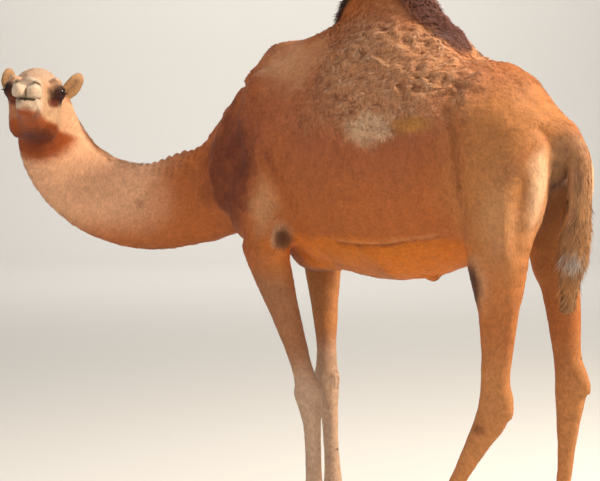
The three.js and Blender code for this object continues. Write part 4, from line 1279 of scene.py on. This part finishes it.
def tints(p):
    """The coat's colour at points, painted shade and highlights included, as linear red, green and blue."""
    colours = bpy.context.scene.camel_colours
    tint = np.tile(np.array(colours.coat), (len(p), 1))
    for name, share in markings(p):
        tint += np.clip(share, 0, 1)[:, None] * (np.array(getattr(colours, name)) - tint)
    return tint * (1 + 0.10 * rough(p, 90, 3, 41) + 0.07 * noise(p, 12, 44))[:, None]


# ---------------------------------------------------------------- meshes
def row_shift():
    """From the camel's frame to the row's, in metres, by the left eye."""
    low, high = (np.array(v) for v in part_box("eye_left"))
    return (low + high) / 2 - in_head((0, EYE_OUT, 0)) * MM


def put(name, data):
    """An object with that data in the scene."""
    made = bpy.data.objects.new(name, data)
    bpy.context.collection.objects.link(made)
    return made


def mesh_object(name, p, faces, tint=None, uv=None):
    """A mesh from points in the camel's frame in mm, with its tint and its places on the unwrap."""
    mesh = bpy.data.meshes.new(name)
    faces = np.asarray(faces)
    corners = faces.shape[1]
    mesh.vertices.add(len(p))
    mesh.vertices.foreach_set("co", (p * MM + row_shift()).astype(np.float32).ravel())
    mesh.loops.add(faces.size)
    mesh.loops.foreach_set("vertex_index", faces.astype(np.int32).ravel())
    mesh.polygons.add(len(faces))
    mesh.polygons.foreach_set("loop_start", np.arange(0, faces.size, corners, dtype=np.int32))
    mesh.polygons.foreach_set("use_smooth", np.ones(len(faces), bool))
    if uv is not None:
        layer = mesh.uv_layers.new(name="OFBake")
        layer.uv.foreach_set("vector", uv[faces.ravel()].astype(np.float32).ravel())
    if tint is not None:
        attribute = mesh.color_attributes.new("tint", "FLOAT_COLOR", "POINT")
        full = np.concatenate([tint, np.ones((len(tint), 1))], 1)
        attribute.data.foreach_set("color", full.astype(np.float32).ravel())
    mesh.update(calc_edges=True)
    mesh.validate()
    return put(name, mesh)


def place_piece(made, slot, material, *nodes):
    """A finished piece: its material, its body, a slot, which is not used, and what it stands for."""
    made.data.materials.append(material)
    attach(made, "root")
    if nodes:
        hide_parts(*nodes)
    return made


# ---------------------------------------------------------------- coat
def trunk_share(p, parts):
    """The trunk without the wool and the crown."""
    return parts["trunk"] * (1 - wool_share(p)) * (1 - crown_share(p))


def neck_length(p):
    """The neck's hair: longer along the nape, and in a fringe along its lower side."""
    _, angle, _ = along_rows(p, *neck_rows())
    nape = eased(np.abs(angle), 0.5, 0.12)
    fringe = eased(np.abs(angle), 2.6, 3.0)
    return 11 + 3 * noise(p, 70, 7) + nape * 18 * eased(p[:, 0], -1000, -1080) + fringe * 8


def face_share(p):
    """Where the face has hair: not on the lips' edge, in the nostrils or in the eye's opening."""
    q = head_sides(p)
    near, edge = in_socket(q)
    bare = near & (edge < 10)
    bare |= (q[:, 0] > 118) & (np.abs(off_mouth(q)) < 6)
    bare |= (off_nostril(q) < 5) & (q[:, 0] > 225)
    return np.where(bare, 0.0, 1.0)


def face_length(p):
    """The face's hair: shortest on the muzzle, a tuft on the poll, and longer at the throat."""
    q = head_sides(p)
    length = 4 + 3.5 * eased(q[:, 0], 140, -60)
    length = length + 15 * spot(q, (-120, 0, 96), (60, 46, 40), 0.5)
    return length + 8 * eased(q[:, 2], -130, -175) * eased(q[:, 0], 120, 0)


def leg_length(p):
    """The legs' hair: shorter downwards, with tufts at the far knee and above the feet."""
    length = 5 + 6 * eased(p[:, 2], 500, 1000)
    knee = spot(p, joints_of("fore_right")[0][2] + (20, 0, 0), (70, 80, 110), 0.5, mirror=False)
    return length + 12 * knee + 4 * spot(p, joints_of("fore_left")[0][2], (70, 80, 100), 0.5, mirror=False)


def trunk_length(p):
    """The hair of the trunk, with longer and shorter places."""
    return 15 + 5 * noise(p, 120, 7)


def crown_length(p):
    """The hump's long hair: longest on top, and short down the back."""
    return 10 + crown_share(p) * np.interp(p[:, 0], [-260, -120, 60, 130, 230], [24, 34, 26, 10, 3])


def tail_length(p):
    """The tail's hair: short at the root, long in the tassel."""
    return 14 + 62 * eased(p[:, 2], 1380, 1180) * eased(p[:, 2], 880, 990)


def crown_place(p, parts):
    """The crown, and a few tufts round it."""
    return crown_share(p) + 0.12 * spot(p, (-60, 0, 1800), (260, 200, 130), 0.3)


def tail_place(p, parts):
    """The tail, denser downwards."""
    return parts["tail"] * eased(p[:, 2], 1480, 1400) * (0.35 + eased(p[:, 2], 1300, 1050))


def legs_place(*names):
    """The legs of those names above the feet."""
    return lambda p, parts: sum(parts[name] for name in names) * (p[:, 2] > 70)


def wool_place(p, parts):
    """The matted wool outside the crown."""
    return wool_share(p) * (1 - crown_share(p))


def wool_length(p):
    """The wool's locks: longer on the clumps."""
    return 13 + 7 * eased(wool_clumps(p), 0, 1)


def front_place(p, parts):
    """The trunk's front half, which runs softly into the rear one."""
    return trunk_share(p, parts) * eased(p[:, 0], 10, -60)


def rear_place(p, parts):
    """The trunk's rear half."""
    return trunk_share(p, parts) * eased(p[:, 0], -60, 10)


def face_place(p, parts):
    """The head and ears where they have hair."""
    return (parts["head"] + parts["ears"]) * face_share(p)


# Each coat piece: slot, tufts, where it grows, length and width in mm, lift off the skin in degrees, curl.
COAT = {
    "hump_hair": ("hump_hair", 15000, crown_place, crown_length, 4.6, 32, 0.9),
    "flank_wool": ("coat", 17000, wool_place, wool_length, 4.4, 24, 1.2),
    "coat_front": ("coat", 18000, front_place, trunk_length, 3.2, 6, 0.15),
    "coat_rear": ("coat", 18000, rear_place, trunk_length, 3.2, 6, 0.15),
    "coat_neck": ("coat", 18000, lambda p, parts: parts["neck"], neck_length, 3.2, 8, 0.25),
    "coat_face": ("face", 14000, face_place, face_length, 2.0, 12, 0.3),
    "coat_forelegs": ("coat", 14000, legs_place("fore_left", "fore_right"), leg_length, 3.2, 9, 0.3),
    "coat_hindlegs": ("coat", 14000, legs_place("hind_left", "hind_right"), leg_length, 3.4, 9, 0.3),
    "tail_hair": ("tail_hair", 6500, tail_place, tail_length, 4.0, 5, 0.12),
}


def roots_on(shape, share, count, rng):
    """Random places on the skin, as many as count, by area and share: points, normals."""
    p, tris, n = shape
    a, b, c = (p[tris[:, i]] for i in range(3))
    area = np.linalg.norm(np.cross(b - a, c - a), axis=1) / 2
    middle = (a + b + c) / 3
    weight = area * np.clip(share(middle), 0, 1)
    cumulative = np.cumsum(weight)
    pick = np.searchsorted(cumulative, rng.random(count) * cumulative[-1])
    u, v = rng.random(count), rng.random(count)
    over = u + v > 1
    u[over], v[over] = 1 - u[over], 1 - v[over]
    t = tris[pick]
    w = np.stack([1 - u - v, u, v], 1)
    at = (w[..., None] * p[t]).sum(1)
    return at, unit((w[..., None] * n[t]).sum(1))


# A tuft: the faces between its seven points, their places on the unwrap about the root's, and their shade.
TUFT_BODY = [(0, 2, 1), (0, 1, 4), (0, 4, 3), (1, 2, 5), (1, 5, 4), (2, 0, 3), (2, 3, 5)]
TUFT_FACES = TUFT_BODY + [(3, 4, 6), (4, 5, 6), (5, 3, 6)]
TUFT_PATCH = 0.0015 * np.array([(-1, -1), (1, -1), (0, -0.7), (-0.7, 0), (0.7, 0), (0, 0.2), (0, 1)])
TUFT_SHADE = np.array([0.92, 0.92, 0.94, 1.0, 1.0, 1.02, 1.06])
TUFT_POINTS = len(TUFT_PATCH)


def tufts(root, n, way, length, width, lift, curl, rng):
    """Closed three-sided tufts that lean along `way`, bend and end in a point: vertices and triangles."""
    count = len(root)
    lean = np.radians(lift * (0.6 + 0.8 * rng.random(count)))[:, None]
    across = np.cross(n, way)
    swing = rng.normal(0, 0.1 + 0.45 * curl, count)[:, None]
    way = unit(way + swing * across)
    across = np.cross(n, way)
    first = unit(np.cos(lean) * way + np.sin(lean) * n)
    bend = rng.normal(0, 0.22 + curl * 0.5, count)[:, None]
    droop = (0.10 + 0.3 * rng.random(count) * (0.4 + curl))[:, None]
    second = unit(first + bend * across - droop * np.sin(lean) * n)
    length = (length * (0.65 + 0.7 * rng.random(count)))[:, None]
    half = (width * (0.35 + 0.3 * rng.random(count)))[:, None]
    up = np.cross(first, across)
    base = root - n * 0.8 - first * 0.8
    thick = 0.3 + 0.3 * min(curl, 1)
    ring = [base - half * across, base + half * across, base + half * thick * up]
    middle = base + first * length * 0.5
    up_two = np.cross(second, across)
    ring += [middle - half * 0.8 * across, middle + half * 0.8 * across, middle + half * 0.8 * thick * up_two]
    ring += [middle + second * length * 0.5]
    p = np.stack(ring, 1).reshape(-1, 3)
    tris = (np.arange(count)[:, None, None] * TUFT_POINTS + np.array(TUFT_FACES)).reshape(-1, 3)
    return p, tris


def tuft_places(root, parts):
    """The tufts' places on the unwrap: a small patch at each root."""
    return (unwrapped(root, parts)[:, None, :] + TUFT_PATCH[None]).reshape(-1, 2)


def coat_piece(name, index):
    """One piece of the coat: its tufts grow on the skin and carry its markings."""
    slot, count, share, length, width, lift, curl = COAT[name]
    rng = np.random.default_rng(SEED + index)
    sizes = bpy.context.scene.camel_sizes
    count = int(count * sizes.coat_density)
    root, n = roots_on(skin_shape(), lambda p: share(p, part_weights(p)), count, rng)
    parts = part_weights(root)
    way = lie_of_hair(root, n, parts)
    p, tris = tufts(root, n, way, np.maximum(length(root), 2.5), width, lift, curl, rng)
    p[:, 2] = np.maximum(p[:, 2], 0.2)
    tint = tints(root) * (1 + (0.05 + 0.05 * curl) * rng.normal(0, 1, count).clip(-2, 2))[:, None]
    tint = (tint[:, None, :] * TUFT_SHADE[None, :, None]).reshape(-1, 3).clip(0.002, 1)
    made = mesh_object(name, p, tris, tint, tuft_places(root, parts))
    made.data.normals_split_custom_set_from_vertices(np.repeat(n, TUFT_POINTS, 0))
    return place_piece(made, slot, hair_material())


# Lashes above and below: the lid's edge in degrees, its curve's power, how far beyond it, droop, number and
# length.
LASH_ROWS = [(OPENING[1], 0.7, 1.5, -0.35, 70, 12), (-OPENING[2], 0.9, -1.5, -0.5, 36, 6)]


def lash_piece():
    """The long lashes on both upper lids and the shorter ones below."""
    rng = np.random.default_rng(SEED + 50)
    axes = eye_frame()
    points, ways, sizes = [], [], []
    for edge, power, beyond, drop, count, long in LASH_ROWS:
        across = np.linspace(-44, 44, count) + rng.normal(0, 0.6, count)
        share = 1 - (across / OPENING[0]) ** 2
        above = edge * share**power + beyond
        a, b = np.radians(across), np.radians(above)
        out = unit(np.stack([np.tan(a), np.tan(b), np.ones(count)], 1))
        points.append(out * (EYE_RADIUS + LID - 1))
        ways.append(unit(out + np.stack([0.35 * np.sin(a), np.full(count, drop), np.zeros(count)], 1)))
        sizes.append(np.full(count, float(long)))
    points, ways, sizes = np.concatenate(points), np.concatenate(ways), np.concatenate(sizes)
    all_p, all_t = [], []
    for s in SIDES:
        q = points @ axes.T + (0, EYE_OUT, 0)
        w = ways @ axes.T
        flip = np.array([1, s, 1])
        root, way = in_head(q * flip), (w * flip) @ HEAD_AXES.T
        n = unit(np.cross(way, np.cross((points @ axes.T * flip) @ HEAD_AXES.T, way)) + 1e-6)
        p, tris = tufts(root, n, way, sizes, 1.3, 4, 0.0, rng)
        all_t.append(tris + sum(len(v) for v in all_p))
        all_p.append(p)
    p = np.concatenate(all_p)
    dark = np.tile(np.array(bpy.context.scene.camel_colours.inside), (len(p), 1))
    root = p[::TUFT_POINTS]
    made = mesh_object("lashes", p, np.concatenate(all_t), dark, tuft_places(root, part_weights(root)))
    return place_piece(made, "face", hair_material())


# ---------------------------------------------------------------- eyes and nails
def ball(rings, segments):
    """A unit ball of points and triangles with its pole on +Z."""
    p = [(0, 0, 1)]
    for i in range(1, rings):
        a = math.pi * i / rings
        for j in range(segments):
            b = 2 * math.pi * j / segments
            p.append((math.sin(a) * math.cos(b), math.sin(a) * math.sin(b), math.cos(a)))
    p.append((0, 0, -1))
    tris = []
    for j in range(segments):
        k = (j + 1) % segments
        tris.append((0, 1 + j, 1 + k))
        for i in range(rings - 2):
            a, b = 1 + i * segments, 1 + (i + 1) * segments
            tris += [(a + j, b + j, b + k), (a + j, b + k, a + k)]
        last = 1 + (rings - 2) * segments
        tris.append((last + j, len(p) - 1, last + k))
    return np.array(p), np.array(tris)


PUPIL_BLACK = (0.003, 0.002, 0.002)


def eye_piece(side, s):
    """One eye: a dark brown ball with a cornea that stands out, a wide pupil and a dark rim."""
    p, tris = ball(56, 72)
    angle = np.degrees(np.arccos(np.clip(p[:, 2], -1, 1)))
    radius = EYE_RADIUS * (1 + 0.05 * eased(angle, 42, 20))
    pupil = np.hypot(p[:, 0] / 0.36, p[:, 1] / 0.17)
    colours = bpy.context.scene.camel_colours
    tint = np.tile(np.array(colours.iris), (len(p), 1))
    streak = 1 + 0.35 * np.sin(26 * np.arctan2(p[:, 1], p[:, 0])) * eased(angle, 12, 30)
    tint = tint * streak[:, None]
    for share, over in ((eased(angle, 40, 50), colours.eye_white), (eased(pupil, 1.15, 0.85), PUPIL_BLACK)):
        tint = tint + share[:, None] * (np.array(over) - tint)
    q = (p * radius[:, None]) @ eye_frame().T + (0, EYE_OUT, 0)
    q = q * (1, s, 1)
    if s < 0:
        tris = tris[:, ::-1]
    made = mesh_object(f"eyeball_{side}", in_head(q), tris, tint)
    return place_piece(made, "eye", eye_material(), f"eye_{side}")


def nail_piece(limb_name, name, side, toe):
    """One toenail: a thick curved horn with growth rings across it."""
    p, tris = ball(26, 36)
    p = p[:, [2, 0, 1]]
    at, radii, spin = toe_of(name, toe)
    growth = 1 + 0.018 * np.sin(p[:, 0] * 22) * (p[:, 0] < 0.6)
    p = p * np.array(NAIL) * growth[:, None]
    p = p @ turned(ACROSS, 25).T + (-radii[0] + 14, 0, 12)
    p = p @ spin.T + at
    p[:, 2] = np.maximum(p[:, 2], 3)  # the nail stays off the floor
    letter = "a" if toe < 0 else "b"
    made = mesh_object(f"toenail_{limb_name}_{side}_{letter}", p, tris)
    return place_piece(made, "nail", horn_material(), f"{limb_name}_{side}_nail_{letter}")


# ---------------------------------------------------------------- materials
def linear(code):
    """An sRGB hex colour as linear red, green and blue."""
    values = [(code >> shift & 255) / 255 for shift in (16, 8, 0)]
    return tuple(v / 12.92 if v <= 0.04045 else ((v + 0.055) / 1.055) ** 2.4 for v in values)


def start_material(name):
    """An empty material with its shader and its node tree."""
    material = bpy.data.materials.new(name)
    material.use_nodes = True
    tree = material.node_tree
    return material, tree, tree.nodes["Principled BSDF"]


def plug(tree, made, values, links):
    """Sets a node's input values, and links its inputs from (node, output) pairs."""
    for key, value in (values or {}).items():
        made.inputs[key].default_value = value
    for key, (source, output) in (links or {}).items():
        tree.links.new(source.outputs[output], made.inputs[key])


def node(tree, kind, values=None, links=None, **settings):
    """Adds a node with its settings, input values and links."""
    made = tree.nodes.new(kind)
    for key, value in settings.items():
        setattr(made, key, value)
    plug(tree, made, values, links)
    return made


def grain(tree, size, detail, vector=None, **values):
    """Adds noise with features of that size in mm, in the object's own space unless a vector is given."""
    vector = vector or (node(tree, "ShaderNodeTexCoord"), "Object")
    scale = {"Scale": 1000 / size, "Detail": detail, **values}
    return node(tree, "ShaderNodeTexNoise", scale, {"Vector": vector})


def ranged(tree, source, low, high, inner=(0.0, 1.0)):
    """Adds a noise's value laid out from low to high where it runs between the inner values."""
    values = {"From Min": inner[0], "From Max": inner[1], "To Min": low, "To Max": high}
    return node(tree, "ShaderNodeMapRange", values, {"Value": (source, "Fac")})


def tinted(tree, shade, output="Result"):
    """Adds the mesh's own tint, made lighter and darker by a node's output."""
    tint = node(tree, "ShaderNodeAttribute", attribute_name="tint")
    links = {0: (tint, "Color"), "Scale": (shade, output)}
    return node(tree, "ShaderNodeVectorMath", links=links, operation="SCALE")


@functools.cache
def hide_material():
    """Camel hide under short hair: soft and dull, with the fine grain of hair that lies flat."""
    material, tree, shader = start_material("short_hair_on_hide")
    place = node(tree, "ShaderNodeTexCoord")
    # Strands are about 0.1 mm thick; they are drawn in locks 5 mm apart so that they show.
    lay = node(tree, "ShaderNodeMapping", {"Scale": (0.45, 1.0, 0.45)}, {"Vector": (place, "Object")})
    locks = grain(tree, 5, 4, (lay, "Vector"), Roughness=0.6)
    clumps = grain(tree, 28, 3)
    shade = ranged(tree, locks, 0.74, 1.14, (0.3, 0.7))
    mottle = ranged(tree, clumps, 0.9, 1.08, (0.3, 0.7))
    factors = {0: (shade, "Result"), 1: (mottle, "Result")}
    both = node(tree, "ShaderNodeMath", links=factors, operation="MULTIPLY")
    bump = node(tree, "ShaderNodeBump", {"Strength": 0.55, "Distance": 0.0022}, {"Height": (locks, "Fac")})
    rise = {"Height": (clumps, "Fac"), "Normal": (bump, "Normal")}
    wide = node(tree, "ShaderNodeBump", {"Strength": 0.35, "Distance": 0.004}, rise)
    links = {
        "Base Color": (tinted(tree, both, "Value"), "Vector"),
        "Normal": (wide, "Normal"),
        "Roughness": (ranged(tree, locks, 0.62, 0.82), "Result"),
    }
    plug(tree, shader, {"Specular IOR Level": 0.25, "Sheen Weight": 0.03, "Sheen Roughness": 0.5}, links)
    return material


@functools.cache
def hair_material():
    """Camel hair in locks: matt, a little lighter towards the tips, with strands that vary in lightness and
    gloss.
    """
    material, tree, shader = start_material("camel_hair")
    strands = grain(tree, 3, 3)
    links = {
        "Base Color": (tinted(tree, ranged(tree, strands, 0.85, 1.12, (0.3, 0.7))), "Vector"),
        "Roughness": (ranged(tree, strands, 0.5, 0.72), "Result"),
    }
    plug(tree, shader, {"Specular IOR Level": 0.3, "Sheen Weight": 0.04, "Sheen Roughness": 0.45}, links)
    return material


@functools.cache
def eye_material():
    """A wet cornea over a dark iris: glossy, with the iris's own colour below."""
    material, tree, shader = start_material("wet_cornea")
    colour = tinted(tree, ranged(tree, grain(tree, 1.5, 3), 0.75, 1.25))
    values = {"Roughness": 0.16, "IOR": 1.376, "Coat Weight": 0.15, "Coat Roughness": 0.02}
    plug(tree, shader, values, {"Base Color": (colour, "Vector")})
    return material


@functools.cache
def horn_material():
    """Hoof horn, worn by sand: brown-grey, half dull, with growth lines."""
    material, tree, shader = start_material("worn_horn")
    lines = grain(tree, 4, 4)
    ramp = node(tree, "ShaderNodeValToRGB", links={"Fac": (lines, "Fac")})
    for element, bright in zip(ramp.color_ramp.elements, (0.55, 1.5)):
        element.color = (*(min(1, bright * v) for v in bpy.context.scene.camel_colours.nail), 1)
    bump = node(tree, "ShaderNodeBump", {"Strength": 0.4, "Distance": 0.001}, {"Height": (lines, "Fac")})
    links = {
        "Base Color": (ramp, "Color"),
        "Normal": (bump, "Normal"),
        "Roughness": (ranged(tree, lines, 0.4, 0.7), "Result"),
    }
    plug(tree, shader, {}, links)
    return material


@functools.cache
def floor_material():
    """Matt pale paper on a studio floor: no gloss, with the faintest grain."""
    material, tree, shader = start_material("pale_studio_paper")
    ramp = node(tree, "ShaderNodeValToRGB", links={"Fac": (grain(tree, 6, 2), "Fac")})
    for element, code in zip(ramp.color_ramp.elements, (0xE4E2DE, 0xEAE8E4)):
        element.color = (*linear(code), 1)
    plug(tree, shader, {"Roughness": 0.9, "Specular IOR Level": 0.1}, {"Base Color": (ramp, "Color")})
    return material


# ---------------------------------------------------------------- stage
# Metres, in the camel's frame.
CAMERA = (2.774, -3.851, 1.42)
AIM = (-0.643, 0.766, -0.0721)
LENS, SENSOR = 86.3, 36  # in millimetres
FLOOR = (-16.0, 11.5)  # where the flat floor starts and ends along the view
HALF_BREADTH = 18.0
BEND, BEND_STEPS = 2.5, 12  # the bend from the floor to the wall: its radius and its steps
WALL_TOP = 12.0
WORLD = (0xF1F3F7, 0.33)


def add_light(name, place, aim, size, power, code):
    """A soft rectangular lamp."""
    data = bpy.data.lights.new(name, "AREA")
    data.shape = "RECTANGLE"
    data.size, data.size_y = size
    data.energy = power
    data.color = linear(code)
    lamp = put(name, data)
    lamp.location = place
    lamp.rotation_euler = (Vector(aim) - Vector(place)).to_track_quat("-Z", "Y").to_euler()


def add_floor(ahead, side):
    """The pale floor, which runs up far behind as a plain wall."""
    near, far = FLOOR
    profile = [(near, 0.0), (far, 0.0)]
    for i in range(1, BEND_STEPS + 1):
        a = math.pi / 2 * i / BEND_STEPS
        profile.append((far + BEND * math.sin(a), BEND - BEND * math.cos(a)))
    profile.append((far + BEND, WALL_TOP))
    points = [y * ahead + x * side + (0, 0, z) for y, z in profile for x in (-HALF_BREADTH, HALF_BREADTH)]
    faces = [(i - 2, i - 1, i + 1, i) for i in range(2, len(points), 2)]
    mesh = bpy.data.meshes.new("floor")
    mesh.from_pydata([tuple(p) for p in points], [], faces)
    mesh.polygons.foreach_set("use_smooth", [True] * len(faces))
    mesh.materials.append(floor_material())
    floor = put("floor", mesh)
    floor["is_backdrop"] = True


def build_stage():
    """The floor, the lamps, the even light all round and the camera."""
    look = unit(np.array(AIM))
    ahead = unit(look * (1, 1, 0))
    side = unit(np.array([look[1], -look[0], 0]))
    add_floor(ahead, side)
    world = bpy.data.worlds.new("studio")
    world.use_nodes = True
    code, strength = WORLD
    values = {"Color": (*linear(code), 1), "Strength": strength}
    plug(world.node_tree, world.node_tree.nodes["Background"], values, {})
    bpy.context.scene.world = world
    bpy.context.scene.view_settings.view_transform = "Standard"
    trunk = (0.0, 0.0, 1.2)
    add_light("key", (4.6, 2.1, 4.8), trunk, (0.5, 0.5), 600, 0xFFF1DC)
    add_light("fill", -3.0 * side - 4.4 * ahead + (0, 0, 2.4), trunk, (4.0, 3.0), 95, 0xFFF6EC)
    add_light("top", (-0.3, 0.2, 5.2), trunk, (4.0, 3.0), 55, 0xFFFAF2)
    add_light("wall", 8.0 * ahead + (0, 0, 6.5), 14.0 * ahead + (0, 0, 1.5), (8.0, 1.0), 330, 0xFFFAF2)
    data = bpy.data.cameras.new("camera")
    data.sensor_fit = "HORIZONTAL"
    data.sensor_width = SENSOR
    data.lens = LENS
    camera = put("camera", data)
    camera.location = np.array(CAMERA) + row_shift()
    camera.rotation_euler = Vector(look).to_track_quat("-Z", "Y").to_euler()
    bpy.context.scene.camera = camera


# ---------------------------------------------------------------- settings
def length(name, text, value):
    """A length that a user may change, in metres."""
    kind = {"unit": "LENGTH", "subtype": "DISTANCE", "precision": 4}
    return bpy.props.FloatProperty(name=name, description=text, default=value, min=0.0, soft_max=0.1, **kind)


def colour(name, text, code):
    """A colour that a user may change, given as an sRGB hex value."""
    return bpy.props.FloatVectorProperty(
        name=name, description=text, default=linear(code), size=3, min=0.0, max=1.0, subtype="COLOR"
    )


class CamelSizes(bpy.types.PropertyGroup):
    """Sizes of the skin and coat."""

    skin_step: length("Skin step", "Distance between the skin's points on the body", 0.015)
    head_step: length("Head step", "Distance between the skin's points on the head", 0.005)
    coat_depth: length("Coat depth", "How deep the coat is on the trunk and neck", 0.004)
    leg_depth: length("Leg coat depth", "How deep the coat is on the lower legs", 0.004)
    face_depth: length("Face coat depth", "How deep the coat is on the face and feet", 0.0025)
    crown_depth: length("Crown hair depth", "How deep the long hair on the hump's crest is", 0.02)
    tail_depth: length("Tail hair depth", "How deep the tail's hair is", 0.003)
    wool_relief: length("Wool relief", "How far the clumps of matted wool stand out", 0.008)
    coat_density: bpy.props.FloatProperty(
        name="Coat density",
        description="Number of tufts, as a share of the full coat",
        default=1.0,
        min=0.05,
        max=1.3,
    )


class CamelColours(bpy.types.PropertyGroup):
    """Colours of the coat's markings, some of them painted shade and highlights, the eyes and the nails."""

    coat: colour("Coat", "Red-brown coat of the flank", 0xAE602C)
    upper_flank: colour("Upper flank", "Darker red-brown above the flank", 0xA15A36)
    rump: colour("Rump", "Golden brown of the rump and thigh", 0xB57541)
    # Partly painted warm light bounced up from the floor onto the belly.
    belly: colour("Belly", "Orange of the belly", 0xCA6F1D)
    # Partly painted sunlight; the neck's base is left darker as painted shadow from the body.
    neck: colour("Neck", "Paler neck and withers", 0xDFA67E)
    fore_leg: colour("Forearm", "Brown of the forearm", 0x9F6A46)
    fore_shank: colour("Fore shank", "Greyish tan of the lower foreleg", 0xC09D82)
    hind_leg: colour("Hind leg", "Orange tan of the lower hind leg", 0xB87946)
    wool: colour("Wool", "Matted wool on the hump's sides", 0xC98D62)
    # Paler tips of the matted wool, with painted highlight on the clumps' tops.
    wool_tips_and_highlight: colour("Pale wool", "Bleached tips of the matted wool", 0xE2B894)
    # Also painted as sunlight along the rear edges of the thighs.
    cream_wool: colour("Cream wool", "Cream lock of wool on the flank", 0xDFB38C)
    # Painted shade in the gaps between the clumps of wool.
    wool_gap_shade: colour("Deep wool", "Gaps between the clumps of wool", 0x8A4E2E)
    gold: colour("Gold", "Small golden patch on the flank", 0xC08040)
    # Also painted shade in the creases of the hip and thigh, and on the hips.
    shoulder: colour("Shoulder", "Brown hair round the dark patch", 0x8A4A30)
    # Mostly painted highlight where a muscle or a ridge stands out; also the pale tips of the ears.
    pale_edge: colour("Pale edge", "Pale hair where a muscle or an edge stands out", 0xD9A878)
    crest: colour("Nape", "Dark hair along the nape", 0x8A5A3C)
    # Also painted shade in the folds' creases and on the hocks.
    dark_patch: colour("Dark patch", "Dark hair in front of the shoulder", 0x69311D)
    crown: colour("Crown", "Long dark hair on the hump's crest", 0x6A4034)
    callus_rim: colour("Callus rim", "Pale hair round a callus", 0xC79F7A)
    callus: colour("Callus", "Bare horny pads at elbow, stifle and breast", 0x55301D)
    # Painted shade: in the cleft under the tail, between the hind legs, in the ears' cups and in the hollow
    # under the jaw; also the tail's darker strands.
    shade: colour("Dark skin", "Dark thin hair between the thighs and in the ears", 0x4B2A1D)
    tail: colour("Tail", "Brown hair of the tail", 0xAA7A52)
    tail_grey: colour("Tail grey", "Grey locks in the tail", 0xB9AEA4)
    forehead: colour("Forehead", "Pale brown forehead", 0xC9A384)
    cheek: colour("Cheek", "Straw-coloured cheek", 0xC99F78)
    # Partly painted warm light bounced up from the floor, and painted shade on the head's right side.
    jaw: colour("Jaw", "Orange-brown underside of the jaw", 0xA04C19)
    # Painted shade under the jaw.
    throat_shade: colour("Throat", "Dark red-brown throat", 0x642A12)
    muzzle: colour("Muzzle", "Pale grey-cream muzzle", 0xD2BBA0)
    muzzle_dark: colour("Muzzle shade", "Grey-brown round the nostrils and lower lip", 0x7E6350)
    eye_ring: colour("Eye ring", "Dark hair round the eyes", 0x3A1E16)
    tear_mark: colour("Tear mark", "Red-brown hair below the eyes", 0x6A301C)
    ear: colour("Ear", "Tan of the ears", 0xA67A50)
    inside: colour("Inner skin", "Bare dark skin of nostrils, lips and lid edges", 0x2A1612)
    sole: colour("Sole", "Grey leathery sole", 0x6A5B50)
    iris: colour("Iris", "Dark brown iris", 0x2E160A)
    eye_white: colour("Eye white", "Brownish white of the eye", 0x4A3328)
    nail: colour("Nail", "Brown-grey horn of the nails", 0x54463A)


FLESH = [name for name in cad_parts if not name.startswith("eye") and "_nail_" not in name]


class AddSkin(bpy.types.Operator):
    """Adds the camel's skin in one piece"""

    bl_idname = "camel.add_skin"
    bl_label = "Add skin"

    def execute(self, context):
        p, tris, _ = skin_shape()
        made = mesh_object("skin", p, tris, tints(p))
        place_piece(made, "coat", hide_material(), *FLESH)
        return {"FINISHED"}


class AddCoat(bpy.types.Operator):
    """Adds the tufts of the coat, region by region"""

    bl_idname = "camel.add_coat"
    bl_label = "Add coat"

    def execute(self, context):
        for index, name in enumerate(COAT):
            coat_piece(name, index)
        return {"FINISHED"}


class AddEyes(bpy.types.Operator):
    """Adds both eyeballs and their lashes"""

    bl_idname = "camel.add_eyes"
    bl_label = "Add eyes"

    def execute(self, context):
        for side, s in (("left", 1), ("right", -1)):
            eye_piece(side, s)
        lash_piece()
        return {"FINISHED"}


class AddNails(bpy.types.Operator):
    """Adds the eight toenails"""

    bl_idname = "camel.add_nails"
    bl_label = "Add nails"

    def execute(self, context):
        for name in LEGS:
            kind, side = name.split("_")
            for toe in SIDES:
                nail_piece(f"{kind}leg", name, side, toe)
        return {"FINISHED"}


class AddStage(bpy.types.Operator):
    """Adds the floor, the lamps and the camera"""

    bl_idname = "camel.add_stage"
    bl_label = "Add stage"

    def execute(self, context):
        build_stage()
        return {"FINISHED"}


class CamelPanel(bpy.types.Panel):
    """The camel's operators and settings in the sidebar"""

    bl_idname = "VIEW3D_PT_camel"
    bl_label = "Camel"
    bl_space_type = "VIEW_3D"
    bl_region_type = "UI"
    bl_category = "Camel"

    def draw(self, context):
        for operator in OPERATORS:
            self.layout.operator(operator.bl_idname)
        for group in (context.scene.camel_sizes, context.scene.camel_colours):
            for name in group.bl_rna.properties.keys():
                if name not in ("rna_type", "name"):
                    self.layout.prop(group, name)


OPERATORS = (AddSkin, AddCoat, AddEyes, AddNails, AddStage)
CLASSES = (CamelSizes, CamelColours, *OPERATORS, CamelPanel)


def register():
    """Registers the classes and the scene's settings."""
    for made in CLASSES:
        bpy.utils.register_class(made)
    bpy.types.Scene.camel_sizes = bpy.props.PointerProperty(type=CamelSizes)
    bpy.types.Scene.camel_colours = bpy.props.PointerProperty(type=CamelColours)


def unregister():
    """Takes them away again."""
    del bpy.types.Scene.camel_colours
    del bpy.types.Scene.camel_sizes
    for made in reversed(CLASSES):
        bpy.utils.unregister_class(made)


def main():
    """Builds everything."""
    frame_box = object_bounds()
    register()
    bpy.ops.camel.add_skin()
    bpy.ops.camel.add_eyes()
    bpy.ops.camel.add_nails()
    bpy.ops.camel.add_coat()
    bpy.ops.camel.add_stage()
    boxes = {"cad": frame_box, "visual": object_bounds()}
    {key: [[float(v) for v in corner] for corner in box] for key, box in boxes.items()}


if __name__ == "__main__":
    main()
